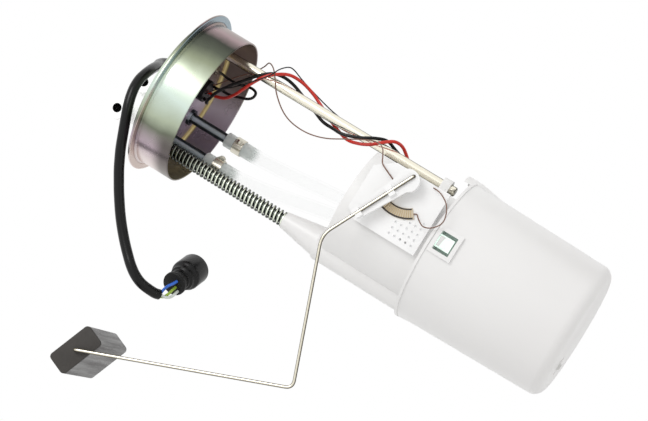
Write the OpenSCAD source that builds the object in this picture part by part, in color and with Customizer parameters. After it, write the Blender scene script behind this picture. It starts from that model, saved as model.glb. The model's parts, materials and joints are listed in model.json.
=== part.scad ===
// In-tank fuel pump module: a plated steel flange carries two guide rods, and a sprung swirl pot with the
// electric pump and the level sender slides on them. +Z is up along the module. The origin is the centre of
// the sealing seat, the underside of the flange rim. Millimetres.

/* [Flange] */
// Outer diameter of the clamped rim
rim_d = 134; // [130:1:140]
// Thickness of the hemmed rim
rim_t = 2.2; // [1.8:0.1:3]
// Outer diameter of the drawn skirt that enters the tank opening
skirt_d = 120; // [118:1:123]
// Depth of the skirt below the seat
skirt_depth = 29; // [24:1:34]
// Depth of the flange floor's underside below the seat
floor_depth = 4.5; // [4.2:0.1:6]
// Sheet thickness of both pressings
sheet_t = 1.2; // [1:0.1:1.5]
// Diameter of the raised dome
dome_d = 117; // [112:1:118]
// Height of the dome above the seat
dome_h = 7; // [6:0.5:9]
// Radius of the neck between skirt and rim
neck_r = 1.5; // [1:0.25:2.5]

/* [Guide rods] */
// Diameter of both guide rods
rod_d = 7.5; // [7:0.25:8]
// Distance of the long rod from the centre
long_rod_x = 43; // [42:0.5:44]
// Distance of the spring rod from the centre
spring_rod_x = 40.5; // [39.5:0.5:41.5]
// Depth of the long rod's end below the seat
long_rod_depth = 219; // [217:1:222]
// Depth of the spring rod's end below the seat
spring_rod_depth = 212; // [208:1:216]
// Diameter of the rivet spigots in the floor
spigot_d = 5; // [4:0.5:6]
// Wire diameter of the split pin
split_pin_d = 1.8; // [1.4:0.1:2.2]
// Distance of the split pin above the rod's end
split_pin_rise = 3.5; // [3:0.5:5]

/* [Return spring] */
// Outer diameter of the spring
spring_d = 11.6; // [11:0.2:12.4]
// Diameter of the spring wire
spring_wire = 1.2; // [1:0.1:1.5]
// Number of turns
spring_turns = 36; // [28:1:40]

/* [Fuel pipes] */
// Outer diameter of the steel pipe stubs
pipe_d = 8; // [7:0.5:9]
// Wall of the pipe stubs
pipe_wall = 1; // [0.8:0.1:1.2]
// Depth of the stubs' ends below the seat
stub_depth = 56; // [52:1:60]
// Length of hose pushed over each pipe or nipple
sleeve_l = 17; // [14:1:19]
// Outlet stub position across
outlet_x = -11; // [-14:0.5:-8]
// Outlet stub position to the rear
outlet_y = 36; // [33:0.5:38]
// Return stub position across
return_x = -33; // [-34:0.5:-32]
// Return stub position to the rear
return_y = 14; // [13:0.5:16]
// Wall of the hoses
hose_wall = 2; // [1.5:0.25:2.25]
// Width of the ear clamps
clamp_w = 7.5; // [6:0.5:9]
// Thickness of the clamp band
clamp_t = 0.8; // [0.6:0.1:1]

/* [Quick-fit elbows] */
// Height of the elbow bores above the seat
elbow_h = 34; // [33:0.5:36]
// Reach of the elbow mouths from the pipes
elbow_reach = 25; // [23:0.5:26]
// Diameter of the bores in the elbow mouths
elbow_bore = 7; // [6:0.5:8]
// Depth of the bores
elbow_bore_l = 16; // [12:1:18]
// Wall of the elbows
elbow_wall = 3; // [2.5:0.25:3.5]
// Turn of the outlet elbow on its pipe
outlet_turn = 8; // [6:1:10]
// Turn of the return elbow on its pipe
return_turn = -5; // [-8:1:-3]

/* [Carrier] */
// Outer diameter of the drum
drum_d = 91; // [90:0.5:92]
// Wall of the carrier moulding
carrier_wall = 2; // [1.6:0.1:2.4]
// Depth of the drum's top edge below the seat
drum_top = 158.5; // [156:0.5:161]
// Distance of the drum's flat, beside the long rod, from the centre
flat_x = 37.5; // [36.5:0.5:38]
// Outer diameter of the guide tower
tower_d = 27.4; // [26:0.2:28]
// Outer diameter of the tower's tip, the lower spring seat
tip_d = 13; // [12.4:0.2:14]
// Depth of the tower's tip below the seat
tip_depth = 120; // [118:1:123]
// Length of the eye
eye_l = 7; // [6:0.5:8]

/* [Swirl pot] */
// Outer diameter of the pot at its mouth
pot_mouth_d = 112; // [111:0.5:114]
// Outer diameter of the pot at its base
pot_base_d = 107; // [105:0.5:109]
// Depth of the pot's mouth below the seat
pot_mouth = 229; // [227:1:231]
// Length of the pot
pot_l = 121; // [116:1:126]
// Wall of the pot
pot_wall = 1.8; // [1.5:0.1:2.2]
// Radius of the pot's lower edge
pot_edge_r = 9; // [7:0.5:11]
// Rise of the long rod's pocket above the mouth
pocket_rise = 7; // [5:0.5:9]
// Length of the tapered pockets below the mouth
pocket_l = 28; // [24:1:32]
// Width of the latch window
window_w = 15; // [12:0.5:18]
// Height of the latch window
window_h = 13; // [10:0.5:15]

/* [Pump] */
// Diameter of the pump can
pump_d = 39; // [37:0.5:41]
// Length of the pump can
pump_l = 90; // [86:1:92]
// Depth of the can's top below the seat
pump_top = 215; // [214:0.5:217]
// Distance of the pump from the centre
pump_x = 6; // [4:0.5:7]
// Wall of the pump can
can_wall = 1.2; // [1:0.1:1.5]
// Diameter of the armature
armature_d = 27; // [25:0.5:28]
// Diameter of the armature shaft
shaft_d = 4; // [3.5:0.25:5]
// Diameter of the impeller
impeller_d = 33; // [31:0.5:34]

/* [Level sender] */
// Distance of the arm's pivot from the centre
pivot_x = 29.5; // [28.5:0.5:30]
// Height of the pivot above the pot's mouth
pivot_rise = 34; // [32:0.5:35]
// Distance of the float arm's plane in front of the centre
arm_y = 60.5; // [60.5:0.5:63]
// Diameter of the float arm wire
wire_d = 2.4; // [2:0.1:2.8]
// Outer radius of the resistor card
card_r = 27; // [25:0.5:28]
// Width of the resistor card's track
card_w = 8; // [7:0.5:9]
// Radius of the lever's hub
hub_r = 8.5; // [7.5:0.5:9]

/* [Float] */
// Length of the float
float_l = 37; // [34:1:40]
// Height of the float
float_h = 18; // [16:1:21]
// Depth of the float along the hinge
float_w = 72; // [60:1:76]
// Radius of the float's edges
float_edge = 3; // [2:0.5:4]
// Wall of the hollow float
float_wall = 1.5; // [1.2:0.1:2]

/* [Harness] */
// Diameter of the harness cable
cable_d = 8; // [7:0.25:8.5]
// Diameter of the connector's rear seal
seal_d = 18.5; // [17:0.5:20]
// Diameter of the connector's barrel
barrel_d = 24; // [22:0.5:26]
// Length of the connector
connector_l = 34; // [32:1:38]

/* [Fits] */
// Radial clearance of a running fit
running = 0.05; // [0.02:0.01:0.08]
// Clearance between pieces that only pass each other
passing = 0.4; // [0.3:0.05:0.5]

/* [Hidden] */

zinc = [0.72, 0.72, 0.58];
steel = [0.62, 0.63, 0.64];
nylon = [0.93, 0.94, 0.94];
milky = [0.88, 0.89, 0.9];
clear_hose = [0.85, 0.9, 0.88];
black_rubber = [0.06, 0.06, 0.07];

rim_r = rim_d / 2;
skirt_r = skirt_d / 2;
dome_r = dome_d / 2;
rod_r = rod_d / 2;
pipe_r = pipe_d / 2;
hose_r = pipe_r + hose_wall;
drum_r = drum_d / 2;
tower_r = tower_d / 2;
pump_r = pump_d / 2;
arm_r = wire_d / 2;
cable_r = cable_d / 2;
long_rod = [long_rod_x, 0];
spring_rod = [-spring_rod_x, 0];
outlet = [outlet_x, outlet_y];
return_pt = [return_x, return_y];
pivot = [pivot_x, -arm_y, pivot_rise - pot_mouth];
pot_base = -pot_mouth - pot_l;
pump_base = -pump_top - pump_l;

// Points of an arc round c, from angle a to angle b, in n steps
function arc(c, r, a, b, n = 6) = [for (i = [0:n])
    let (t = a + (b - a) * i / n)
    c + r * [cos(t), sin(t)]];

function unit(v) = v / norm(v);

// Point on the smooth curve through the points p, at the fraction t from point i to the next
function smooth(p, i, t) =
    let (last = len(p) - 1, a = i > 0 ? p[i - 1] : 2 * p[0] - p[1], b = p[i], c = p[i + 1],
        d = i + 2 <= last ? p[i + 2] : 2 * p[last] - p[last - 1])
    0.5 * (2 * b + (c - a) * t + (2 * a - 5 * b + 4 * c - d) * t * t + (3 * b - 3 * c + d - a) * t * t * t);
function curve(p, n) =
    concat([for (i = [0:len(p) - 2], k = [0:n - 1]) smooth(p, i, k / n)], [p[len(p) - 1]]);

// Round rod or tube swept along points: one polyhedron, with its rings square to the route
module sweep(p, d, sides = 8, bore = 0, across = [0.31, 0.87, 0.38]) {
    last = len(p) - 1;
    function ring(i, r) =
        let (t = unit(p[min(i + 1, last)] - p[max(i - 1, 0)]), u = unit(cross(across, t)), v = cross(t, u))
        [for (k = [0:sides - 1]) p[i] + r * (cos(360 * k / sides) * u + sin(360 * k / sides) * v)];
    function wall(a, b, c, d, inside) = inside ? [[a, c, d], [a, b, c]] : [[a, d, c], [a, c, b]];
    function walls(from, inside) = [for (i = [0:last - 1], k = [0:sides - 1])
        let (m = (k + 1) % sides, a = from + i * sides)
        each wall(a + k, a + m, a + sides + m, a + sides + k, inside)];
    n = (last + 1) * sides;
    outer = [for (i = [0:last]) each ring(i, d / 2)];
    end = last * sides;
    if (bore == 0)
        polyhedron(outer, concat(walls(0, false), [[for (k = [0:sides - 1]) k]],
            [[for (k = [sides - 1:-1:0]) end + k]]));
    else
        polyhedron(concat(outer, [for (i = [0:last]) each ring(i, bore / 2)]),
            concat(walls(0, false), walls(n, true),
                [for (k = [0:sides - 1]) let (m = (k + 1) % sides) each wall(k, m, n + m, n + k, true)],
                [for (k = [0:sides - 1]) let (m = (k + 1) % sides)
                    each wall(end + k, end + m, n + end + m, n + end + k, false)]));
}

// Places a shape at a point of the plan
module at(p, z = 0) {
    translate([p[0], p[1], z]) children();
}

// Upright cylinder from depth z0 up to z1, and the same with a bore
module rod(z0, z1, r) {
    translate([0, 0, z0]) cylinder(h = z1 - z0, r = r, $fn = 48);
}
module pipe(z0, z1, r, bore) {
    difference() {
        rod(z0, z1, r);
        rod(z0 - 1, z1 + 1, bore);
    }
}

// Upright cone from depth z0 up to z1, with its lower and upper radius
module cone(z0, z1, r0, r1) {
    translate([0, 0, z0]) cylinder(h = z1 - z0, r1 = r0, r2 = r1, $fn = 48);
}

// Points the +Z axis of a shape along v
module aim(v) {
    rotate([0, acos(v[2] / norm(v)), atan2(v[1], v[0])]) children();
}

// The flange: two pressings

fillet = 1;
shoulder_r = dome_h - rim_t - fillet - 0.2;
hole_gap = 0.1;
gland_at = [18.8, 40.8];
gland_hole = 5.5;
plug_at = [12, 23];
plug_hole = 7;
// Step of the rim's underside over the skirt's lip, so that only the rim lies on the tank
lap = 0.4;

module flange_top() {
    inner_r = dome_r - sheet_t;
    seat_in = skirt_r + neck_r + 0.3;
    color(zinc) difference() {
        rotate_extrude($fn = 96) polygon(concat(
            [[0, dome_h]],
            arc([dome_r - shoulder_r, dome_h - shoulder_r], shoulder_r, 90, 0),
            arc([dome_r + fillet, rim_t + fillet], fillet, 180, 270, 3),
            arc([rim_r - rim_t / 2, rim_t / 2], rim_t / 2, 90, -90),
            [[seat_in, 0], [seat_in, lap], [inner_r, lap]],
            arc([inner_r - shoulder_r + sheet_t, dome_h - shoulder_r], shoulder_r - sheet_t, 0, 90),
            [[0, dome_h - sheet_t]]));
        for (p = [outlet, return_pt]) at(p) rod(0, dome_h + 1, pipe_r + hole_gap);
        at(gland_at) rod(0, dome_h + 1, gland_hole);
    }
}

module flange_skirt() {
    inner_r = skirt_r - sheet_t;
    corner = 2.5;
    edge = 0.4;
    color(zinc) difference() {
        rotate_extrude($fn = 96) polygon(concat(
            [[skirt_r - edge, -skirt_depth], [skirt_r, -skirt_depth + edge]],
            arc([skirt_r + neck_r, -neck_r], neck_r, 180, 92),
            [[skirt_r + neck_r, lap], [inner_r, lap], [inner_r - 1, -floor_depth + sheet_t],
                [0, -floor_depth + sheet_t], [0, -floor_depth]],
            arc([inner_r - corner, -floor_depth - corner], corner, 90, 0),
            [[inner_r, -skirt_depth + edge], [inner_r + edge, -skirt_depth]]));
        for (p = [long_rod, spring_rod]) at(p) rod(-floor_depth - 1, 0, spigot_d / 2 + running);
        for (p = [outlet, return_pt]) at(p) rod(-floor_depth - 1, 0, pipe_r + hole_gap);
        at(plug_at) rod(-floor_depth - 1, 0, plug_hole);
        at(tag_at) rod(-floor_depth - 1, 0, tag_rivet_r + running);
    }
}

// Guide rods, spring and split pin

module guide_rod(depth) {
    head_h = 1.5;
    chamfer = 0.8;
    color(zinc) {
        cone(-depth, -depth + chamfer, rod_r - chamfer, rod_r);
        rod(-depth + chamfer, -floor_depth, rod_r);
        rod(-floor_depth, -floor_depth + sheet_t, spigot_d / 2);
        rod(-floor_depth + sheet_t, -floor_depth + sheet_t + head_h, spigot_d / 2 + 1.5);
    }
}

pin_z = -long_rod_depth + split_pin_rise;

module long_guide_rod() {
    at(long_rod) difference() {
        guide_rod(long_rod_depth);
        color(zinc) translate([0, 0, pin_z]) rotate([90, 0, 0])
            cylinder(h = rod_d + 2, r = split_pin_d / 2 + running, center = true, $fn = 24);
    }
}

// A split pin: a shank through the rod, an eye in front and two bent legs behind
module split_pin() {
    ring_r = split_pin_d * 1.25;
    leg_l = 5;
    half = split_pin_d / 2;
    lean = 65;
    // the ring hangs below the carrier's eye
    drop = ring_r * sin(lean) - half * 0.2;
    color(zinc) at(long_rod, pin_z) {
        translate([0, rod_r + 0.9, 0]) rotate([90, 0, 0]) cylinder(h = rod_d + 2.4, r = half, $fn = 24);
        translate([0, -rod_r - half - 0.2 - ring_r, -drop]) rotate([0, lean, 0]) rotate_extrude($fn = 36)
            translate([ring_r, 0]) circle(r = half * 0.8, $fn = 16);
        for (s = [-1, 1]) translate([s * half * 0.5, rod_r + 0.5, 0]) rotate([0, 0, -s * 35])
            rotate([-90, 0, 0]) cylinder(h = leg_l, r = half * 0.75, $fn = 16);
    }
}

module spring_guide_rod() {
    at(spring_rod) guide_rod(spring_rod_depth);
}

spring_top = -floor_depth - spring_wire / 2;
spring_bottom = -tip_depth + spring_wire / 2;

module return_spring() {
    steps = 10;
    coil_r = (spring_d - spring_wire) / 2;
    total = spring_turns * steps;
    pitch = (spring_top - spring_bottom) / (spring_turns - 1.5);
    // the first and last three quarters of a turn lie closed, flat on their seats
    function height(i) = let (turn = i / steps)
        spring_bottom + pitch * min(max(turn - 0.75, 0), spring_turns - 1.5);
    color(steel) at(spring_rod) sweep([for (i = [0:total])
        let (t = 360 * i / steps)
        [coil_r * cos(t), coil_r * sin(t), height(i)]], spring_wire, 5, across = [0, 0, 1]);
}

// Fuel pipes, elbows and hoses

pipe_top = elbow_h - elbow_bore / 2 - elbow_wall - 1;
boss_h = 2.5;

module fuel_pipe() {
    bead = 0.6;
    color(steel) difference() {
        union() {
            rod(-stub_depth, pipe_top, pipe_r);
            rod(-floor_depth - boss_h, -floor_depth, pipe_r + boss_h);
            rod(-floor_depth - boss_h - bead, -floor_depth - boss_h, pipe_r + bead);
        }
        rod(-stub_depth - 1, pipe_top + 1, pipe_r - pipe_wall);
    }
}
module outlet_pipe() at(outlet) fuel_pipe();
module return_pipe() at(return_pt) fuel_pipe();

seal_z = dome_h + 6;
seal_wire = 1.5;

module pipe_seals() {
    color(black_rubber) for (p = [outlet, return_pt]) at(p, seal_z) rotate_extrude($fn = 48)
        translate([pipe_r + seal_wire / 2 + 0.02, 0]) circle(d = seal_wire, $fn = 20);
}

// A quick-fit elbow: a socket over the pipe and a mouth that faces the front
module elbow() {
    body_r = pipe_r + running + elbow_wall;
    ring = 1.2;
    ring_l = 4;
    color(nylon) difference() {
        union() {
            rod(dome_h, elbow_h, body_r);
            translate([0, 0, elbow_h]) sphere(r = body_r, $fn = 48);
            translate([0, 0, elbow_h]) rotate([90, 0, 0]) cylinder(h = elbow_reach, r = body_r, $fn = 48);
            translate([0, -elbow_reach + ring_l, elbow_h]) rotate([90, 0, 0])
                cylinder(h = ring_l, r = body_r + ring, $fn = 48);
            rod(dome_h, dome_h + ring_l, body_r + ring);
            // ears that the release clip snaps over
            for (s = [-1, 1]) translate([s * body_r, -elbow_reach + 9, elbow_h])
                cube([2.4, 5, 4], center = true);
        }
        rod(dome_h - 1, pipe_top + 0.1, pipe_r + running);
        rod(seal_z - seal_wire / 2 - 0.1, seal_z + seal_wire / 2 + 0.1, pipe_r + seal_wire + 0.1);
        rod(pipe_top, elbow_h, elbow_bore / 2 - 1);
        translate([0, 0, elbow_h]) rotate([90, 0, 0])
            cylinder(h = elbow_reach, r = elbow_bore / 2 - 1, $fn = 48);
        translate([0, -elbow_reach + elbow_bore_l, elbow_h]) rotate([90, 0, 0])
            cylinder(h = elbow_bore_l + 1, r = elbow_bore / 2, $fn = 48);
    }
}
module outlet_elbow() at(outlet) rotate([0, 0, outlet_turn]) elbow();
module return_elbow() at(return_pt) rotate([0, 0, return_turn]) elbow();

// Nipples that the hoses end on: one on the pump, one on the carrier's deck
nipple_r = pipe_r;
outlet_nipple = [pump_x - 9, 8];
return_nipple = [-14.5, 24];
nipple_top = -180;
lower_sleeve = 14;

// Middle line of a hose: over a stub, down to a nipple and over that, upright on both
hose_end = 2;
function hose_route(from, to, n = 12) = concat(
    [for (z = [sleeve_l - stub_depth, -stub_depth]) [each from, z]],
    [for (i = [0:n])
        let (t = i / n, ease = t * t * (3 - 2 * t))
        [each from + (to - from) * ease,
            -stub_depth - hose_end + (nipple_top + stub_depth + 2 * hose_end) * t]],
    [for (z = [nipple_top, nipple_top - lower_sleeve]) [each to, z]]);

module hose(from, to) {
    sides = 12;
    // the bore's flats clear the pipes
    bore = 2 * (max(pipe_r, nipple_r) + running) / cos(180 / sides);
    color(clear_hose) sweep(hose_route(from, to), 2 * hose_r, sides, bore = bore);
}
module outlet_hose() {
    hose(outlet, outlet_nipple);
}
module return_hose() {
    hose(return_pt, return_nipple);
}

// An ear clamp: a band with one pinched ear
module ear_clamp(turn) {
    ear = 3;
    color(steel) rotate([0, 0, turn]) difference() {
        union() {
            cylinder(h = clamp_w, r = hose_r + clamp_t, center = true, $fn = 48);
            translate([hose_r + clamp_t / 2, 0, 0]) rotate([90, 0, 0])
                cylinder(h = 3.2, r = ear, center = true, $fn = 24);
        }
        cylinder(h = clamp_w + 1, r = hose_r + running, center = true, $fn = 48);
        cylinder(h = 2 * ear + 1, r = hose_r + running, center = true, $fn = 48);
    }
}
module upper_hose_clamps() {
    z = -stub_depth + clamp_w / 2 + 1.5;
    at(outlet, z) ear_clamp(-70);
    at(return_pt, z) ear_clamp(-20);
}
module lower_hose_clamps() {
    z = nipple_top - lower_sleeve / 2;
    at(outlet_nipple, z) ear_clamp(-120);
    at(return_nipple, z) ear_clamp(150);
}

// Harness: gland, cable, wires and round connector

gland_grip = 5;
gland_top = dome_h + gland_grip;
cable_start = dome_h + 0.5;

module cable_gland() {
    flare = 2.5;
    color(black_rubber) at(gland_at) difference() {
        union() {
            rod(dome_h - sheet_t - 1.5, dome_h - sheet_t, gland_hole + flare);
            rod(dome_h - sheet_t, dome_h, gland_hole);
            cone(dome_h, gland_top, gland_hole + flare, cable_r + 1);
        }
        rod(dome_h - 4, dome_h, cable_r - 1);
        rod(dome_h, gland_top + 1, cable_r + running);
    }
}

// The cable stands up from its gland, passes in front of the outlet's mouth but below its axis, crosses
// the rim and hangs beside the flange
cable_route = concat([for (z = [cable_start, gland_top + 0.2]) [gland_at[0], gland_at[1], z]], [
    [18.7, 40.2, 16.4], [18.3, 38.7, 20.1], [17.7, 36.7, 23.6], [15.6, 29.9, 29.6], [13.2, 22.1, 32.3],
    [10.6, 14.1, 32.3], [8.6, 6.4, 30], [6.7, -1.1, 28.4], [4.3, -8.8, 27.2], [1.3, -16.3, 26],
    [-2.7, -23.1, 25.2], [-8.4, -29, 24.7], [-15, -33.1, 23.5], [-22.4, -35.4, 21.5], [-30, -36, 19],
    [-37.5, -35.4, 16.2], [-45, -33.9, 13.5], [-52.4, -31.9, 11], [-59.5, -29.6, 8.6], [-66.6, -27.5, 5.6],
    [-73.9, -25.6, 2.1], [-80.8, -24, -1.8], [-87.6, -22.7, -5.9], [-94.3, -21.6, -10.4],
    [-100.8, -20.9, -15.1], [-107, -20.3, -20.1], [-113, -20, -25.5], [-118.7, -20.1, -31.2],
    [-124.1, -20.5, -37.2], [-129.3, -21.1, -43.5], [-133.9, -20.3, -50.4], [-136.9, -17.7, -57.8],
    [-137.9, -11.5, -67], [-137.2, -8, -70.4]
]);

module harness_cable() {
    color(black_rubber) sweep(cable_route, cable_d, 10);
}

// Cores of the stripped cable inside the flange, from the gland to the plug
module cable_cores() {
    plug_top = -floor_depth + sheet_t + 1.5;
    function along(f, z) = [each gland_at + (plug_at - gland_at) * f, z];
    color([0.3, 0.3, 0.35]) sweep(concat([along(0, cable_start - 0.3)], curve([along(0, 5), along(0.08, 1.9),
        along(0.26, 0.9), along(0.6, 1.3), along(0.84, 1.2)], 2), [along(0.96, 0.3), along(1, -0.9),
        along(1, plug_top)]), 2 * cable_r - 3.2);
}

// The connector lies level, away from the front; its rear disc is at connector_at
connector_at = [-125.7, 6.5, -72];
connector_dir = [0.52, 0.855, 0];
core_wire = 2.2;

module wire_blue() {
    color([0.15, 0.35, 0.75]) sweep(curve([[-135.84, -7.34, -69.88], [-135.7, -6.6, -70.6],
        [-133.2, -4.3, -70.3], [-129.2, -1.4, -70.8], [-125.4, 1.4, -72.6], [-122.4, 4.3, -73.6]], 3),
        core_wire);
}
module wire_green() {
    color([0.55, 0.7, 0.2]) sweep(curve([[-138.4, -7.42, -70.48], [-138.26, -6.7, -71.18],
        [-137, -4.2, -73.4], [-133.4, -0.6, -74.4], [-129.8, 3, -74.4], [-126.9, 7, -74.4]], 3), core_wire);
}
module wire_natural() {
    color([0.85, 0.87, 0.84]) sweep(curve([[-136.95, -8.95, -71.76], [-136.8, -8.24, -72.46],
        [-136.4, -5.6, -75.6], [-134.2, -1.6, -77.6], [-131.2, 3, -77.7], [-128.6, 7.9, -77.2]], 3),
        core_wire);
}

module connector_frame() {
    translate(connector_at) aim(connector_dir) children();
}
seal_l = 9;
shell_neck_l = 11;

module connector_seal() {
    color(black_rubber) connector_frame() {
        rod(0, 4, seal_d / 2);
        rod(4, 6, seal_d / 2 - 1.5);
        rod(6, seal_l, seal_d / 2 - 0.8);
    }
}

module connector_shell() {
    neck_r2 = seal_d / 2 - 0.4;
    wall = 2;
    grip = 10;
    color([0.09, 0.09, 0.1]) connector_frame() difference() {
        union() {
            rod(seal_l, seal_l + shell_neck_l, neck_r2);
            rod(seal_l + 2.5, seal_l + 4.1, neck_r2 + 0.9);
            cone(seal_l + shell_neck_l - 3, seal_l + shell_neck_l - 1, neck_r2, barrel_d / 2);
            rod(seal_l + shell_neck_l - 1, connector_l, barrel_d / 2);
        }
        rod(seal_l + shell_neck_l + 1, connector_l + 1, barrel_d / 2 - wall);
        for (a = [0:360 / grip:359]) rotate([0, 0, a])
            translate([barrel_d / 2 + 0.6, 0, seal_l + shell_neck_l + 2])
                cylinder(h = connector_l, r = 1.2, $fn = 16);
    }
}

module connector_pins() {
    ring_r = 5;
    color([0.75, 0.6, 0.3]) connector_frame() for (a = [90:120:359]) rotate([0, 0, a])
        translate([ring_r, 0, seal_l + shell_neck_l + 1]) {
            cylinder(h = 8, r = 1.1, $fn = 20);
            translate([0, 0, 8]) cylinder(h = 1, r1 = 1.1, r2 = 0.5, $fn = 20);
        }
}

// Wires under the flange

plug_face = -10;
tag_at = [30, 31];
tag_rivet_r = 1.6;

module bulkhead_plug() {
    brim = 2;
    color(black_rubber) at(plug_at) {
        rod(plug_face, -floor_depth, plug_hole + brim);
        rod(-floor_depth, -floor_depth + sheet_t, plug_hole - 0.1);
        rod(-floor_depth + sheet_t, -floor_depth + sheet_t + 1.5, plug_hole + 1);
    }
}

module earth_tag() {
    tag_t = 0.8;
    color([0.8, 0.7, 0.4]) at(tag_at) {
        rod(-floor_depth - tag_t, -floor_depth, 3.6);
        rod(-floor_depth, -floor_depth + sheet_t, tag_rivet_r);
        rod(-floor_depth + sheet_t, -floor_depth + sheet_t + 1, tag_rivet_r + 1);
        rod(-floor_depth - tag_t - 1, -floor_depth - tag_t, tag_rivet_r + 0.6);
    }
}

red_route = [
    [12, 22, -10.3], [12, 21.6, -13], [12, 19, -18], [14.5, 13, -27], [20, 3, -35], [27, -4, -40.5],
    [35, -7.8, -45.5], [42.5, -10, -51], [49, -8, -57.5], [54, -2, -65],
    [54.5, 5, -74.5], [51.5, 9.5, -85.5], [46.5, 9.5, -96.5],
    [40, 6, -111], [35, -3, -127.5], [36, -9, -138], [40, -10.5, -147], [46, -9.5, -154], [51.5, -5, -160.5],
    [52, 3, -166], [47.5, 9.5, -172], [41, 12, -178], [33, 11, -181.5], [25, 7, -183.4], [20, 3.6, -185.4],
    [18, 2, -189.6]
];
black_route = [
    [6, 22, -10.3], [5.8, 21.4, -13], [4.2, 17.2, -15.6], [4.8, 11.5, -16.6], [8.5, 7.5, -18.6],
    [15, 4, -22], [24, 0, -29], [31, -3.5, -36],
    [38, -5.8, -42.5], [43.5, -6.5, -48], [48.5, -4.5, -54.5],
    [50.5, 1, -62], [49.5, 5.5, -70], [46, 6.6, -80],
    [42, 6.2, -91], [37.3, 3, -104], [36.5, -2, -115],
    [36.5, -6, -124.5], [40.5, -7, -136.5], [46.5, -6, -147.5],
    [49.5, -1, -155], [47.5, 6, -162], [45, 11.5, -168], [40, 15.5, -174], [33, 17, -179], [25, 17, -182],
    [17.5, 14.8, -184.8], [14, 13, -189.6]
];
earth_route = [
    [18, 27, -10.3], [18, 26.6, -13], [18.5, 22, -19], [18.5, 15, -28], [20.5, 9, -38], [22.5, 6, -44.5],
    [25.5, 4.5, -48], [29.5, 4.5, -48], [31, 6, -43.5], [30, 8.5, -37], [28.5, 11.5, -29],
    [28.5, 16, -20], [29.5, 24, -13], [30, 31, -7.8]
];
brown_route = [
    [19.5, 24, -10.2], [20, 23.9, -12], [33, 20, -24], [43, 12, -36], [50, 7, -42], [54, 1, -45.5],
    [51.8, -7, -52.5], [44.5, -13.5, -60.5], [37, -12.5, -66], [29, -11.5, -75.5],
    [24.5, -11, -85], [23, -11, -96], [24, -12, -107],
    [27.5, -13, -118], [33.5, -13.5, -129], [39, -14, -139],
    [43, -16, -148], [43.5, -24, -156], [41, -34, -162],
    [36, -44, -167], [31, -49.6, -171], [28, -50.9, -177], [25, -49.6, -184]
];
dark_route = [
    [10, 16, -10.2], [10, 15.6, -12], [11.2, 7, -15], [15.5, -3, -22], [25, -10, -36], [35, -13.5, -46.5],
    [45.5, -15, -55.5], [53, -12, -58.5], [58.5, -4, -61.5], [59, 0, -65.5], [56.5, 9, -72],
    [53, 13, -84], [48, 13, -105], [45, 11.5, -130], [47, 14.5, -155], [40, 19, -172], [33, 20.5, -182],
    [31.5, 12, -190], [31.5, 0, -193], [29.5, -14, -191.5], [26, -26, -189], [23, -34, -187.3],
    [22, -40, -187], [22, -45.9, -187]
];
pump_wire_d = 2.6;
earth_wire_d = 2.2;
sender_wire_d = 1;

post_top = -195;

// The wires wind round the long rod, so that stretch follows the rod when it moves
function beside_rod(route) = [for (p = route)
    p + [(long_rod_x - 43) * min(max((p[0] - 18) / 16, 0), 1), 0, 0]];

module pump_wire(route) {
    sweep(curve(beside_rod(route), 2), pump_wire_d);
    end = route[len(route) - 1];
    at(end) rod(post_top + passing, end[2], 2.3);
}
module pump_wire_red() {
    color([0.8, 0.15, 0.1]) pump_wire(red_route);
}
module pump_wire_black() {
    color(black_rubber) pump_wire(black_route);
}
module earth_wire() {
    color(black_rubber) sweep(curve(earth_route, 2), earth_wire_d);
}
module sender_wire_brown() {
    color([0.45, 0.3, 0.25]) sweep(curve(beside_rod(brown_route), 2), sender_wire_d, 6);
}
module sender_wire_dark() {
    color([0.2, 0.18, 0.18]) sweep(curve(beside_rod(dark_route), 2), sender_wire_d, 6);
}

// Carrier moulding: drum, guide tower, deck and the eye on the long rod

deck_t = 3;
deck_z = -pot_mouth;
deck_r = pot_mouth_d / 2 - pot_wall - passing;
cone_base = tip_depth + 32;
tower_step = 1.5;
tower_bore = tower_r - carrier_wall;
lower_guide = 196;
isolator_l = 20;
eye_z = pin_z + split_pin_d / 2 + passing;
eye_r = rod_r + 2.5;
hang_l = deck_t + 14;

module carrier_shell() {
    inner_r = drum_r - carrier_wall;
    difference() {
        intersection() {
            rod(deck_z - 1, -drum_top, drum_r);
            translate([-100, -100, -400]) cube([100 + flat_x, 200, 400]);
        }
        intersection() {
            rod(deck_z - 2, -drum_top + 1, inner_r);
            translate([-100, -100, -400]) cube([100 + flat_x - carrier_wall, 200, 400]);
        }
    }
    rod(deck_z - deck_t, deck_z, deck_r);
}

// The tower: a tube beside the drum, with a cone up to the spring seat
module carrier_tower() {
    at(spring_rod) {
        rod(deck_z - deck_t, -cone_base, tower_r);
        cone(-cone_base, -tip_depth, tower_r - tower_step, tip_d / 2);
    }
}
module tower_hollow() {
    at(spring_rod) {
        rod(-400, 0, rod_r + running);
        rod(-400, -lower_guide - 7, tower_bore);
        rod(-lower_guide, -cone_base, tower_bore);
        cone(-cone_base - 0.01, -tip_depth - 10, tower_r - tower_step - carrier_wall, rod_r + 1.2);
    }
}

// Eye on the long rod, on an arm from the drum's flat
module carrier_eye() {
    at(long_rod) rod(eye_z, eye_z + eye_l, eye_r);
    translate([flat_x - carrier_wall, -eye_r, eye_z])
        cube([long_rod_x - flat_x + carrier_wall, 2 * eye_r, eye_l]);
}

// Tongue that snaps into the pot's window
module snap_tongue() {
    tongue_w = window_w - 5;
    y = deck_r - 2;
    top = -pot_mouth - window_drop - 0.8;
    translate([window_x - tongue_w / 2, -y, deck_z - hang_l]) cube([tongue_w, 2, hang_l - 1]);
    translate([window_x, -y, top]) rotate([90, 0, 90]) linear_extrude(height = tongue_w - 2, center = true)
        polygon([[0.5, 0], [-3.6, 0], [-3.6, -1.2], [0.5, -8]]);
}

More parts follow.
